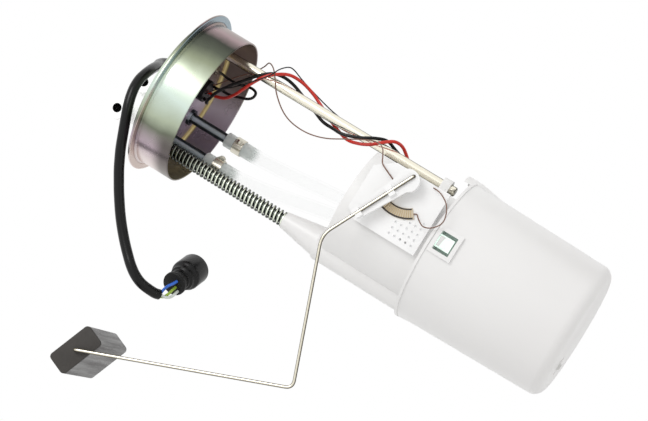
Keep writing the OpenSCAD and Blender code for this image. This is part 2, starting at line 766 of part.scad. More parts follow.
module carrier() {
    slot = 3;
    color(milky) difference() {
        union() {
            carrier_shell();
            carrier_tower();
            carrier_eye();
            at(return_nipple) rod(deck_z - 1, nipple_top, nipple_r);
            at([pump_x, 0]) rod(deck_z - isolator_l, deck_z - 1, isolator_r + carrier_wall);
            snap_tongue();
        }
        tower_hollow();
        at(long_rod) rod(eye_z - 1, 0, rod_r + running);
        // notch that lets the long rod and its split pin pass down into the pot
        intersection() {
            at(long_rod) rod(-400, deck_z + 1, tower_r);
            translate([flat_x + 0.4, -50, -400]) cube([50, 100, 400]);
        }
        at([pump_x, 0]) rod(-400, deck_z + 1, isolator_r + running);
        at(return_nipple) rod(-400, nipple_top + 1, nipple_r - pipe_wall);
        for (a = [40:50:140]) rotate([0, 0, a]) translate([(drum_r + deck_r) / 2, 0, deck_z - 5])
            cylinder(h = 10, r = slot, $fn = 24);
        // openings for the pump wires and the sender wire
        translate([flat_x - 5, 5, -187]) cube([10, 17.5, 23]);
        translate([22, -30, -187]) rotate([90, 0, 0]) cylinder(h = 20, r = 1.5, $fn = 24);
    }
}

window_x = 5;
window_drop = 6;
window_z = -pot_mouth - window_drop - window_h;
pocket_r = tower_r + passing;
valve_x = -26;
valve_stem_r = 2;

function pot_r(depth) = pot_mouth_d / 2 - (pot_mouth_d - pot_base_d) / 2 * (depth - pot_mouth) / pot_l;

// Pocket for a rod: upright at the mouth, then a cone that fades out in the pot's wall
module pot_pocket(x, top, grow, inset) {
    end = pot_mouth + pocket_l;
    upright = 4;
    end_r = pot_r(end) - inset - abs(x) - 0.6;
    translate([x, 0, 0]) {
        rod(-pot_mouth - upright, top, pocket_r + grow);
        translate([0, 0, -end]) cylinder(h = pocket_l - upright, r1 = end_r, r2 = pocket_r + grow, $fn = 64);
    }
}

// The pot's form: its outside with no inset, and its hollow with the wall as inset
module pot_form(inset, top) {
    edge = pot_edge_r - inset;
    floor_z = pot_base + inset;
    rotate_extrude($fn = 128) polygon(concat(
        [[0, floor_z]],
        arc([pot_base_d / 2 - pot_edge_r, pot_base + pot_edge_r], edge, -90, 0, 10),
        [[pot_mouth_d / 2 - inset, -pot_mouth], [pot_mouth_d / 2 - inset, top], [0, top]]));
    for (x = [long_rod_x, -spring_rod_x]) pot_pocket(x, top, pot_wall - inset, inset);
}

module swirl_pot() {
    lip_t = 0.8;
    lip_h = 2;
    boss_t = 1.5;
    mouth_r = pot_mouth_d / 2;
    color(milky) difference() {
        union() {
            pot_form(0, -pot_mouth);
            translate([0, 0, -pot_mouth - lip_h]) cylinder(h = lip_h, r = mouth_r + lip_t, $fn = 128);
            // the long rod's pocket rises above the mouth
            difference() {
                at(long_rod) rod(-pot_mouth - 1, -pot_mouth + pocket_rise, pocket_r + pot_wall);
                rod(-pot_mouth - 2, -pot_mouth + pocket_rise + 1, mouth_r - pot_wall);
            }
            // raised surround of the latch window
            intersection() {
                translate([window_x, -mouth_r, window_z + window_h / 2])
                    cube([window_w + 6, 20, window_h + 6], center = true);
                rod(window_z - 4, -pot_mouth - lip_h, mouth_r + boss_t);
            }
        }
        pot_form(pot_wall, -pot_mouth + 1);
        at(long_rod) rod(-pot_mouth, -pot_mouth + pocket_rise + 1, pocket_r);
        translate([window_x - window_w / 2, -mouth_r - 5, window_z]) cube([window_w, 20, window_h]);
        // valve seat in the floor
        at([valve_x, 0]) {
            rod(pot_base - 1, pot_base + pot_wall + 1, valve_stem_r + 0.1);
            for (a = [0:60:359]) rotate([0, 0, a]) translate([6, 0, pot_base - 1])
                cylinder(h = pot_wall + 2, r = 1.8, $fn = 24);
        }
    }
}

// Umbrella valve: it lets fuel in through the floor and closes the holes on the way out
module foot_valve() {
    top = pot_base + pot_wall;
    color([0.25, 0.25, 0.27]) at([valve_x, 0]) {
        cone(top, top + 2.2, 9, 4);
        rod(pot_base, top, valve_stem_r);
        cone(pot_base - 1.6, pot_base, 1.6, 3);
    }
}

// Pump

isolator_t = 2;
isolator_r = pump_r + isolator_t;
cap_h = 15;
inlet_h = 14;
brush_z = -pump_top - 13;

module pump_isolator() {
    color([0.15, 0.15, 0.16]) at([pump_x, 0])
        pipe(deck_z - isolator_l, deck_z, isolator_r, pump_r + running);
}

module pump_can() {
    color(steel) at([pump_x, 0]) pipe(pump_base, -pump_top, pump_r, pump_r - can_wall);
}

module pump_outlet_cap() {
    inner = pump_r - can_wall;
    bush_r = shaft_d / 2 + running;
    color([0.2, 0.2, 0.22]) difference() {
        union() {
            at([pump_x, 0]) {
                rod(-pump_top - 6, -pump_top, inner);
                rod(-pump_top, -pump_top + 3, pump_r);
                cone(-pump_top + 3, -pump_top + cap_h, pump_r - 2, pump_r - 4);
            }
            at(outlet_nipple) rod(-pump_top, nipple_top, nipple_r);
            // terminal posts under the wire ends
            for (p = [[18, 2], [14, 13]]) at(p) rod(-pump_top, post_top, 2);
            // brush holders
            for (s = [-1, 1]) translate([pump_x + s * 12.5 - 3, -4, brush_z - 4]) cube([6, 8, 12]);
        }
        for (s = [-1, 1]) translate([pump_x + s * 12.5 - 4, -2.5, brush_z - 2.5]) cube([8, 5, 5]);
        at(outlet_nipple) rod(-pump_top - 7, nipple_top + 1, nipple_r - pipe_wall);
        at([pump_x, 0]) rod(-pump_top - 7, -pump_top + 2, bush_r);
    }
}

module pump_brushes() {
    reach = 8.4;
    color([0.2, 0.2, 0.2]) for (s = [-1, 1]) translate([pump_x + s * (reach + 3) - 3, -2.4, brush_z - 2.4])
        cube([6, 4.8, 4.8]);
}

module pump_inlet_cap() {
    inner = pump_r - can_wall;
    chamber_h = 5;
    color([0.2, 0.2, 0.22]) at([pump_x, 0]) difference() {
        union() {
            rod(pump_base, pump_base + inlet_h, inner);
            rod(pump_base - 3, pump_base, pump_r);
            translate([8, 0, 0]) rod(pump_base - 13, pump_base - 3, 6);
        }
        // impeller chamber, shaft bushes and the inlet
        rod(pump_base + 4, pump_base + 4 + chamber_h, impeller_d / 2 + passing);
        rod(pump_base + 1, pump_base + inlet_h + 1, shaft_d / 2 + running);
        translate([8, 0, 0]) rod(pump_base - 14, pump_base + 5, 3.5);
        translate([-8, 0, 0]) rod(pump_base + 8, pump_base + inlet_h + 1, 3);
    }
}

module pump_magnets() {
    outer = pump_r - can_wall;
    inner = armature_d / 2 + 1;
    color([0.3, 0.3, 0.32]) at([pump_x, 0]) difference() {
        pipe(pump_base + 24, -pump_top - 20, outer, inner);
        for (s = [-1, 1]) translate([-4, s * outer - outer / 2, pump_base]) cube([8, outer, pump_l]);
    }
}

module armature() {
    stack_z = pump_base + 26;
    stack_l = pump_l - 50;
    slots = 8;
    color([0.6, 0.35, 0.2]) at([pump_x, 0]) {
        rod(pump_base + 2, -pump_top + 1, shaft_d / 2);
        difference() {
            rod(stack_z, stack_z + stack_l, armature_d / 2);
            for (a = [0:360 / slots:359]) rotate([0, 0, a]) translate([armature_d / 2 - 3, 0, stack_z - 1])
                cylinder(h = stack_l + 2, r = 2, $fn = 24);
        }
        // commutator
        rod(stack_z + stack_l, -pump_top - 8, 8);
    }
}

module impeller() {
    vanes = 16;
    z0 = pump_base + 4.5;
    h = 4;
    color([0.75, 0.7, 0.6]) at([pump_x, 0]) difference() {
        pipe(z0, z0 + h, impeller_d / 2, shaft_d / 2);
        for (a = [0:360 / vanes:359], z = [z0 - 1, z0 + h - 1.2]) rotate([0, 0, a])
            translate([impeller_d / 2 - 3.5, -1, z]) cube([3, 2, 2.2]);
    }
}

module inlet_strainer() {
    sock_r = 24;
    sock_t = 12;
    top = pump_base - 13;
    color([0.8, 0.8, 0.76]) at([pump_x, 0]) {
        cone(top - sock_t, top - sock_t / 2, sock_r - 3, sock_r);
        cone(top - sock_t / 2, top, sock_r, sock_r - 3);
    }
}

// Level sender

base_t = 3;
card_t = 1;
base_top = -pivot[2] - 29;
base_bottom = pot_mouth - 4;
base_left = -14;
base_right = flat_x - 0.5;
sender_y = arm_y - 11.5;
stub_l = 4;
boss_r = 6;
screw_r = 2;
lever_y = sender_y + stub_l + passing;
lever_front = arm_y - arm_r - 0.05;
lever_reach = 45;
card_to = 219;
card_from = 147;

// Bends of the float arm seen from the front, measured from the pivot
arm_bends = [[-65.2, 32], [-168.5, -9], [-230.3, 143]];
lever_angle = atan2(arm_bends[0][1], arm_bends[0][0]);

// Flat shape drawn in the front view, x and height, with its back at depth y and t thick
module facing(y, t) {
    translate([0, -y, 0]) rotate([90, 0, 0]) linear_extrude(height = t) children();
}

// Cylinder that points to the front from depth y0 to y1
module stud(x, z, y0, y1, r) {
    translate([x, -y0, z]) rotate([90, 0, 0]) cylinder(h = y1 - y0, r = r, $fn = 36);
}

// Local frame of the lever: X along the float arm, Y as in the part
module along_arm() {
    translate([pivot[0], 0, pivot[2]]) rotate([0, -lever_angle, 0]) children();
}

module sender_base() {
    back = sender_y - base_t;
    color(nylon) {
        difference() {
            union() {
                facing(back, base_t) polygon([[base_left, -base_bottom], [base_right, -base_bottom],
                    [base_right, -base_top - 14], [base_right - 10, -base_top], [base_left + 6, -base_top],
                    [base_left, -base_top - 8]]);
                stud(pivot[0], pivot[2], sender_y, sender_y + stub_l, boss_r);
            }
            for (i = [0:4], j = [0:4])
                stud(base_left + 5 + i * 4.6, -base_bottom + 5 + j * 4.6, back - 1, sender_y + 1, 0.9);
            stud(pivot[0], pivot[2], back - 1, sender_y + stub_l + 1, screw_r + running);
        }
        // standoffs onto the drum
        difference() {
            for (x = [base_left + 6, base_right - 6], z = [-base_bottom + 12, -base_top - 18])
                stud(x, z, 30, back, 3);
            rod(deck_z, -drum_top + 1, drum_r);
        }
    }
}

module resistor_card() {
    at_pivot = [pivot[0], pivot[2]];
    color([0.8, 0.72, 0.6]) facing(sender_y, card_t) polygon(concat(
        arc(at_pivot, card_r, card_from, card_to, 14),
        arc(at_pivot, card_r - card_w, card_to, card_from, 14)));
}

module pivot_screw() {
    back = sender_y - base_t;
    head_t = 1.5;
    color(steel) {
        stud(pivot[0], pivot[2], back - head_t, back, screw_r + 1.6);
        stud(pivot[0], pivot[2], back, lever_front - 1.4, screw_r);
    }
}

// Lead from the resistor card, round in front of the pot's rim and back to the base
module sender_lead() {
    near = sender_y + 0.5;
    front = max(sender_y + 11, pot_mouth_d / 2 + 4);
    route = [[-18, -near, -14.6], [-17.1, -near - 0.7, -17], [-19.7, -near - 3.5, -20.6],
        [-22.3, -front + 3.4, -26.4], [-19.9, -front + 0.5, -33], [-13.5, -front, -37.4],
        [-6.5, -front + 0.4, -36.4], [0.1, -front + 2, -32], [4.5, -front + 6, -24],
        [5.5, -near - 0.1, -17]];
    color([0.7, 0.4, 0.25]) sweep(curve([for (p = route) p + [pivot[0], 0, pivot[2]]], 2), 0.9, 6);
}

module wiper_lever() {
    clip_w = 7;
    clip_l = 5;
    clip_t = 2.6;
    back = lever_front - 3.2;
    groove = arm_r + 0.05;
    color(nylon) along_arm() difference() {
        union() {
            stud(0, 0, lever_y, lever_front, hub_r);
            facing(back, lever_front - back) polygon([[0, -7], [lever_reach, -4], [lever_reach, 4], [0, 7]]);
            for (u = [12, lever_reach - clip_l])
                translate([u, -lever_front - clip_t, -clip_w / 2]) cube([clip_l, clip_t + 1, clip_w]);
        }
        // blind bore for the pivot
        stud(0, 0, lever_y - 1, lever_front - 1, screw_r + running);
        // grooves that the arm snaps into, and the hole for its hooked end
        translate([-hook_u, -arm_y, 0]) rotate([0, 90, 0]) cylinder(h = 80, r = groove, $fn = 24);
        translate([0, -lever_front - 5, -arm_r * 0.8]) cube([80, 4, arm_r * 1.6]);
        stud(-hook_u, 0, back, arm_y, groove);
    }
}
hook_u = 5.4;

// Sprung finger that brushes the resistor card
module wiper_contact() {
    finger_w = 2.4;
    back = lever_front - 3.2;
    card_front = sender_y + card_t;
    middle = card_r - card_w / 2;
    color([0.75, 0.6, 0.3]) along_arm() linear_extrude(height = finger_w, center = true)
        polygon([[hub_r + 1, -back], [hub_r + 5, -back], [middle, -card_front - passing - 0.4],
            [middle + 3, -card_front - passing - 0.4], [middle + 3, -card_front - passing],
            [middle - 0.2, -card_front - passing], [hub_r + 4.6, -back + 0.5], [hub_r + 1, -back + 0.5]]);
}

// Points that round the corner at b on the way from a to c
function bend(a, b, c, r) =
    let (u = unit(a - b), v = unit(c - b), half = acos(u * v) / 2, back = r / tan(half))
    [for (i = [0:5]) let (t = i / 5) b + back * (u * (1 - t) * (1 - t) + v * t * t)];

arm_depth = -arm_y + float_w - 4;

module float_arm_wire() {
    bend_r = 6;
    hook = unit(arm_bends[0]) * -hook_u;
    function spot(b, y = -arm_y) = [pivot[0] + b[0], y, pivot[2] + b[1]];
    start = spot(hook, -lever_front + 3);
    pts = [spot(hook), spot(arm_bends[0]), spot(arm_bends[1]), spot(arm_bends[2])];
    end = spot(arm_bends[2], arm_depth);
    color(steel) sweep(concat([start],
        bend(start, pts[0], pts[1], 1.6), bend(pts[0], pts[1], pts[2], 3 * bend_r),
        bend(pts[1], pts[2], pts[3], bend_r), bend(pts[2], pts[3], end, 3), [end]),
        wire_d, 8, across = [0.6, 0.3, 0.74]);
}

float_tilt = -20.7;
float_near = arm_y - 3.5;

// Rounded block, seen from the front and from above, drawn in by an inset
module float_form(inset) {
    module rounded(a, b) {
        r = float_edge;
        square([a - 2 * r, b], center = true);
        square([a, b - 2 * r], center = true);
        for (x = [-1, 1], y = [-1, 1]) translate([x * (a / 2 - r), y * (b / 2 - r)]) circle(r = r, $fn = 32);
    }
    l = float_l - 2 * inset;
    w = float_w - 2 * inset;
    h = float_h - 2 * inset;
    intersection() {
        facing(inset - float_w, w) rounded(l, h);
        translate([0, float_w / 2, -float_h]) linear_extrude(height = 2 * float_h) rounded(l, w);
    }
}

// Hollow float on the bent end of the arm
module float_block() {
    color([0.2, 0.2, 0.21]) translate([pivot[0] + arm_bends[2][0], -float_near, pivot[2] + arm_bends[2][1]])
        rotate([0, -float_tilt - 180, 0]) difference() {
            float_form(0);
            difference() {
                float_form(float_wall);
                stud(0, 0, -float_w, 1, arm_r + running + float_wall);
            }
            stud(0, 0, -float_w + 2.5, 1, arm_r + running);
        }
}

flange_top();
flange_skirt();
long_guide_rod();
split_pin();
spring_guide_rod();
return_spring();
outlet_pipe();
return_pipe();
pipe_seals();
outlet_elbow();
return_elbow();
outlet_hose();
return_hose();
upper_hose_clamps();
lower_hose_clamps();
cable_gland();
harness_cable();
wire_blue();
wire_green();
wire_natural();
cable_cores();
connector_seal();
connector_shell();
connector_pins();
bulkhead_plug();
earth_tag();
pump_wire_red();
pump_wire_black();
earth_wire();
sender_wire_brown();
sender_wire_dark();
carrier();
swirl_pot();
foot_valve();
inlet_strainer();
pump_isolator();
pump_brushes();
pump_can();
pump_outlet_cap();
pump_inlet_cap();
pump_magnets();
armature();
impeller();
sender_base();
resistor_card();
pivot_screw();
sender_lead();
wiper_lever();
wiper_contact();
float_arm_wire();
float_block();
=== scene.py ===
import json
import math

import bpy
import numpy as np
from mathutils import Matrix, Vector


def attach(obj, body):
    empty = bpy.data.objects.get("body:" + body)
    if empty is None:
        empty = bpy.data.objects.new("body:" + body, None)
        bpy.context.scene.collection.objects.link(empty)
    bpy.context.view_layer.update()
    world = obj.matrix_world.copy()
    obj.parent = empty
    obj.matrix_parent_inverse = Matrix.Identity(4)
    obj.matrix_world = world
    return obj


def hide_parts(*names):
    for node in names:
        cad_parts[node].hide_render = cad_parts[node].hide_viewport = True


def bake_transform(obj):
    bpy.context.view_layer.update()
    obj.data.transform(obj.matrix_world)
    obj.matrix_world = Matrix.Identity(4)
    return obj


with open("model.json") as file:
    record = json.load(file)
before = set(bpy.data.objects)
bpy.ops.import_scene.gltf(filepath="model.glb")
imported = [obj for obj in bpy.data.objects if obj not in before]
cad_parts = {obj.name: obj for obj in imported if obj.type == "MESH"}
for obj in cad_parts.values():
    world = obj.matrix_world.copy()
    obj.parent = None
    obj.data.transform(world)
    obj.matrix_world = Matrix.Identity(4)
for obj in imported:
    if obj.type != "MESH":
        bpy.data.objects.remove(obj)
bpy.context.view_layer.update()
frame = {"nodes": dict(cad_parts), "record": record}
nodes = frame["nodes"]
mm = 0.001
print("frame loaded:", len(nodes), "nodes")

# Camera: it looks up at the module from the sender's side, rolled so that the flange is at the upper left
cameraView = {
    "place": (-45.9, -1539.0, -478.3),
    "right": (0.52812, 0.17258, -0.83145),
    "up": (0.849, -0.12697, 0.51291),
    "lens": 117.63,
    "sensor": 36.0,
}


def makeCamera(view):
    right = np.array(view["right"])
    right = right / np.linalg.norm(right)
    up = np.array(view["up"])
    up = up - right * (up @ right)
    up = up / np.linalg.norm(up)
    back = np.cross(right, up)
    data = bpy.data.cameras.new("viewCamera")
    data.lens = view["lens"]
    data.sensor_width = view["sensor"]
    data.sensor_fit = "HORIZONTAL"
    data.clip_start = 0.05
    data.clip_end = 20.0
    camera = bpy.data.objects.new("viewCamera", data)
    bpy.context.scene.collection.objects.link(camera)
    rows = np.stack([right, up, back], axis=1)
    camera.matrix_world = Matrix.Translation(Vector(view["place"]) * mm) @ Matrix(rows.tolist()).to_4x4()
    bpy.context.scene.camera = camera
    return right, up, back


viewRight, viewUp, viewBack = makeCamera(cameraView)
print("camera made")


# Shapes: points and faces as numpy arrays, in millimetres


def addPiece(name, points, faces, finish, body, slot, smoothAngle=40.0):
    mesh = bpy.data.meshes.new(name)
    mesh.from_pydata((np.asarray(points, float) * mm).tolist(), [], [list(f) for f in faces])
    mesh.update()
    mesh.shade_smooth()
    mesh.set_sharp_from_angle(angle=math.radians(smoothAngle))
    piece = bpy.data.objects.new(name, mesh)
    bpy.context.scene.collection.objects.link(piece)
    mesh.materials.append(finish)
    if body is not None:
        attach(piece, body)
    return piece


# Quads between the rows of a grid of rows by columns. Its last column joins the first
def gridFaces(rows, columns, start=0):
    i, j = np.meshgrid(np.arange(rows - 1), np.arange(columns), indexing="ij")
    k = (j + 1) % columns
    n = i + 1
    quads = np.stack([i * columns + j, i * columns + k, n * columns + k, n * columns + j], axis=-1)
    return (quads.reshape(-1, 4) + start).tolist()


# A smooth curve through a route's points. At t between p1 and p2 it is half of
# 2 p1 + (p2 - p0) t + (2 p0 - 5 p1 + 4 p2 - p3) t^2 + (3 p1 - 3 p2 + p3 - p0) t^3
def smoothRoute(route, steps):
    p = np.asarray(route, float)
    p = np.vstack([2 * p[0] - p[1], p, 2 * p[-1] - p[-2]])
    t = (np.arange(steps) / steps)[None, :, None]
    p0, p1, p2, p3 = (p[i : len(p) - 3 + i][:, None, :] for i in range(4))
    bend = 2 * p0 - 5 * p1 + 4 * p2 - p3
    twist = 3 * p1 - 3 * p2 + p3 - p0
    points = 0.5 * (2 * p1 + (p2 - p0) * t + bend * t**2 + twist * t**3)
    return np.vstack([points.reshape(-1, 3), p[-2]])


# Rings of radius r round each point of a path, square to it: p + r (cos a u + sin a v)
def sweepRings(path, radius, sides, across=(0.31, 0.87, 0.38)):
    path = np.asarray(path, float)
    along = np.gradient(path, axis=0)
    along /= np.linalg.norm(along, axis=1)[:, None]
    u = np.cross(np.asarray(across, float), along)
    u /= np.linalg.norm(u, axis=1)[:, None]
    v = np.cross(along, u)
    a = 2 * math.pi * np.arange(sides) / sides
    radius = np.broadcast_to(np.asarray(radius, float), (len(path),))[:, None, None]
    around = np.cos(a)[None, :, None] * u[:, None, :] + np.sin(a)[None, :, None] * v[:, None, :]
    return (path[:, None, :] + radius * around).reshape(-1, 3)


# A closed rod along a path, or a pipe where it has a bore
def tube(path, radius, sides=16, bore=0.0, across=(0.31, 0.87, 0.38)):
    rows = len(path)
    points = sweepRings(path, radius, sides, across)
    faces = gridFaces(rows, sides)
    ring = np.arange(sides)
    if bore == 0.0:
        return points, faces + [ring[::-1].tolist(), (ring + (rows - 1) * sides).tolist()]
    inner = sweepRings(path, bore, sides, across)
    start = rows * sides
    faces += [f[::-1] for f in gridFaces(rows, sides, start)]
    nxt = (ring + 1) % sides
    last = (rows - 1) * sides
    faces += np.stack([nxt, ring, start + ring, start + nxt], axis=1).tolist()
    faces += np.stack([last + ring, last + nxt, start + last + nxt, start + last + ring], axis=1).tolist()
    return np.vstack([points, inner]), faces


# A profile of radius and height turned round Z: (r cos a, r sin a, z). It ends in two small discs
def lathe(profile, sides):
    profile = np.asarray(profile, float)
    a = 2 * math.pi * np.arange(sides) / sides
    r, z = profile[:, 0][:, None], profile[:, 1][:, None]
    points = np.stack([r * np.cos(a), r * np.sin(a), z + 0 * a], axis=-1).reshape(-1, 3)
    faces = gridFaces(len(profile), sides)
    ring = np.arange(sides)
    faces += [ring[::-1].tolist(), (ring + (len(profile) - 1) * sides).tolist()]
    return points, faces


# Turns +Z onto a direction and moves to a place: x u + y v + z w, with w the direction
def aimed(points, place, direction):
    w = np.asarray(direction, float)
    w = w / np.linalg.norm(w)
    u = np.cross((0.0, 0.0, 1.0), w)
    u /= np.linalg.norm(u)
    return points @ np.stack([u, np.cross(w, u), w]) + np.asarray(place, float)


# Several shapes as one
def joined(*shapes):
    points, faces, start = [], [], 0
    for p, f in shapes:
        points.append(p)
        faces += [[i + start for i in face] for face in f]
        start += len(p)
    return np.vstack(points), faces


# Points of an arc from angle a to b round a centre, in a profile's plane: centre + r (cos t, sin t)
def arc(centre, r, a, b, steps=8):
    t = np.radians(np.linspace(a, b, steps + 1))
    return np.stack([centre[0] + r * np.cos(t), centre[1] + r * np.sin(t)], axis=1)


# Material nodes


class Flow:
    # a value in a material: sums on it add the Math nodes
    def __init__(self, finish, socket):
        self.finish = finish
        self.socket = socket

    def maths(self, operation, *values):
        return self.finish.node("ShaderNodeMath", {"operation": operation}, dict(enumerate(values)))

    def __add__(self, other):
        return self.maths("ADD", self, other)

    def __radd__(self, other):
        return self.maths("ADD", other, self)

    def __sub__(self, other):
        return self.maths("SUBTRACT", self, other)

    def __rsub__(self, other):
        return self.maths("SUBTRACT", other, self)

    def __mul__(self, other):
        return self.maths("MULTIPLY", self, other)

    def __rmul__(self, other):
        return self.maths("MULTIPLY", other, self)

    def most(self, other):
        return self.maths("MAXIMUM", self, other)

    def size(self):
        return self.maths("ABSOLUTE", self)

    def root(self):
        return self.maths("SQRT", self)

    # 0 below low, 1 above high, smooth between
    def ramp(self, low, high):
        settings = {"interpolation_type": "SMOOTHSTEP", "clamp": True}
        return self.finish.node("ShaderNodeMapRange", settings, {0: self, 1: low, 2: high, 3: 0.0, 4: 1.0})


# A colour as it looks, turned into the linear values that a shader takes
def linear(colour):
    c = np.asarray(colour, float)
    c = np.where(c <= 0.04045, c / 12.92, ((c + 0.055) / 1.055) ** 2.4)
    return tuple(c.tolist()) + (1.0,)


class Finish:
    # one material: constants go on the shader, and feed() links what varies
    def __init__(self, name, colour, rough=0.5, metal=0.0, **constants):
        self.material = bpy.data.materials.new(name)
        self.material.use_nodes = True
        self.tree = self.material.node_tree
        self.shader = self.tree.nodes["Principled BSDF"]
        self.shader.inputs["Base Color"].default_value = linear(colour)
        self.shader.inputs["Roughness"].default_value = rough
        self.shader.inputs["Metallic"].default_value = metal
        for key, value in constants.items():
            self.shader.inputs[key.replace("_", " ")].default_value = value
        self.material.diffuse_color = linear(colour)
        self.place = None

    def put(self, socket, value):
        if isinstance(value, Flow):
            self.tree.links.new(value.socket, socket)
        else:
            socket.default_value = value

    def node(self, kind, settings, values, output=0):
        made = self.tree.nodes.new(kind)
        for key, value in settings.items():
            if key == "stops":
                self.setStops(made.color_ramp, value)
            else:
                setattr(made, key, value)
        for key, value in values.items():
            self.put(made.inputs[key], value)
        return Flow(self, made.outputs[output])

    # the ramp's own two stops take the first and last colours, and the others are added
    def setStops(self, ramp, stops):
        ends = (ramp.elements[0], stops[0]), (ramp.elements[-1], stops[-1])
        for element, (position, colour) in ends:
            element.position = position
            element.color = linear(colour)
        for position, colour in stops[1:-1]:
            ramp.elements.new(position).color = linear(colour)

    def coords(self):
        if self.place is None:
            self.place = self.node("ShaderNodeTexCoord", {}, {}, "Object")
        return self.place

    # x, y and z of the piece's own coordinates, in metres
    def axes(self):
        split = self.node("ShaderNodeSeparateXYZ", {}, {0: self.coords()})
        outputs = split.socket.node.outputs
        return tuple(Flow(self, outputs[i]) for i in range(3))

    def noise(self, scale, detail=3.0, rough=0.5, stretch=None):
        where = self.coords()
        if stretch is not None:
            where = self.node("ShaderNodeVectorMath", {"operation": "MULTIPLY"}, {0: where, 1: stretch})
        values = {"Vector": where, "Scale": scale, "Detail": detail, "Roughness": rough}
        return self.node("ShaderNodeTexNoise", {}, values)

    def mixColours(self, factor, first, second):
        settings = {"data_type": "RGBA"}
        pair = [c if isinstance(c, Flow) else linear(c) for c in (first, second)]
        return self.node("ShaderNodeMix", settings, {0: factor, 6: pair[0], 7: pair[1]}, 2)

    def bands(self, value, stops):
        return self.node("ShaderNodeValToRGB", {"stops": stops}, {0: value})

    # 1 where the surface faces along Y and 0 where it is square to Y
    def facingY(self):
        normal = self.node("ShaderNodeNewGeometry", {}, {}, "Normal")
        return self.node("ShaderNodeSeparateXYZ", {}, {0: normal}, "Y").size()

    def feed(self, socket, value):
        self.put(self.shader.inputs[socket], value)
        return self

    def bump(self, height, distance, strength=1.0):
        values = {"Height": height, "Distance": distance, "Strength": strength}
        return self.feed("Normal", self.node("ShaderNodeBump", {}, values))


# Finishes: metal first, then plastic, rubber and cores


cableSheath = {"colour": (0.028, 0.028, 0.03), "rough": (0.16, 0.14), "grain": 0.00004}


def makeSheath(look):
    sheath = Finish("blackSheath", look["colour"], rough=0.22, Specular_IOR_Level=0.3)
    sheath.feed("Roughness", look["rough"][0] + look["rough"][1] * sheath.noise(60.0, 4.0))
    sheath.bump(sheath.noise(900.0, 2.0), look["grain"])
    return sheath.material


# Yellow zinc: each band has its place across X, from 0 to 1 over the skirt's width; the bands are the plating's
# tint and painted reflections. Heights and radii in mm
zincTintAndPaintedReflections = {
    "outside": [(0.01, (0.88, 0.83, 0.82)), (0.11, (0.74, 0.67, 0.71)), (0.22, (0.46, 0.48, 0.42)),
                (0.29, (0.70, 0.74, 0.65)), (0.42, (0.84, 0.90, 0.86)), (0.58, (0.84, 0.88, 0.80)),
                (0.70, (0.60, 0.63, 0.53)), (0.79, (0.38, 0.40, 0.35)), (0.88, (0.27, 0.28, 0.25)),
                (0.95, (0.66, 0.57, 0.58)), (1.0, (0.62, 0.57, 0.55))],
    "inside": [(0.12, (0.52, 0.50, 0.40)), (0.29, (0.60, 0.54, 0.60)), (0.42, (0.70, 0.64, 0.70)),
               (0.54, (0.82, 0.78, 0.82)), (0.71, (0.56, 0.50, 0.48)), (0.96, (0.55, 0.49, 0.46))],
    "reach": 60.0, "cloud": 16.0,
    "goldColour": (0.86, 0.78, 0.55), "goldHeight": (-7.4, -6.2), "goldRadius": (54.6, 55.6),
    "paintedShadeColour": (0.30, 0.29, 0.26), "paintedShadeDepth": (12.0, 24.0), "paintedShadeEnd": (-42.0, -28.0),
    "seatPaintedSkyColours": ((0.86, 0.79, 0.76), (0.62, 0.69, 0.73)), "seatRadius": (61.3, 61.7),
    "cupRadius": (58.95, 59.3), "cupHeight": (-0.6, 0.1),
}


# One set of bands lies outside and one inside the cup, and a cloud breaks them up
def makeZinc(look):
    zinc = Finish("yellowZinc", (0.72, 0.72, 0.58), rough=0.3, metal=1.0)
    x, y, z = zinc.axes()
    radius = (x * x + y * y).root() * 1000.0
    height = z * 1000.0
    cloud = zinc.noise(24.0, 4.0, 0.55)
    across = (x * 1000.0 + (cloud - 0.5) * look["cloud"] + look["reach"]) * (0.5 / look["reach"])
    # The outside bands are the plating's tint with painted reflections; the inside bands are its tint with
    # painted highlights
    outside = zinc.bands(across, look["outside"])
    inside = zinc.bands(across, look["inside"])
    gold = height.ramp(*look["goldHeight"]) * radius.ramp(*look["goldRadius"])
    inside = zinc.mixColours(gold, inside, look["goldColour"])
    # Painted shade: the skirt's lower part on the left is darkened
    low = (height * -1.0).ramp(*look["paintedShadeDepth"]) * (1.0 - (x * 1000.0).ramp(*look["paintedShadeEnd"]))
    outside = zinc.mixColours(low * 0.8, outside, look["paintedShadeColour"])
    # The seat face takes a painted reflection of the sky, pale to blue-grey
    seat = radius.ramp(*look["seatRadius"]) * (1.0 - height.ramp(0.2, 0.5))
    seatPaintedSky = zinc.mixColours(across.ramp(0.3, 0.55), *look["seatPaintedSkyColours"])
    outside = zinc.mixColours(seat, outside, seatPaintedSky)
    within = (1.0 - radius.ramp(*look["cupRadius"])) * (1.0 - height.ramp(*look["cupHeight"]))
    zinc.feed("Base Color", zinc.mixColours(within, outside, inside))
    zinc.feed("Metallic", 1.0 - 0.5 * within)
    zinc.feed("Roughness", 0.2 + 0.18 * zinc.noise(40.0, 5.0))
    zinc.bump(zinc.noise(180.0, 4.0), 0.0001, 0.3)
    return zinc.material


drawnGrain = (9.0, 9.0, 0.6)


# Steel, brass or copper with fine marks of drawing along Z
def makeBrightSteel(name, colour, rough=0.22):
    steel = Finish(name, colour, rough=rough, metal=1.0)
    drawn = steel.noise(60.0, 4.0, 0.6, stretch=drawnGrain)
    steel.feed("Roughness", rough * 0.7 + rough * 0.7 * drawn)
    steel.feed("Base Color", steel.mixColours(steel.noise(35.0, 4.0), [0.84 * c for c in colour], colour))
    steel.bump(drawn, 0.00003, 0.5)
    return steel.material
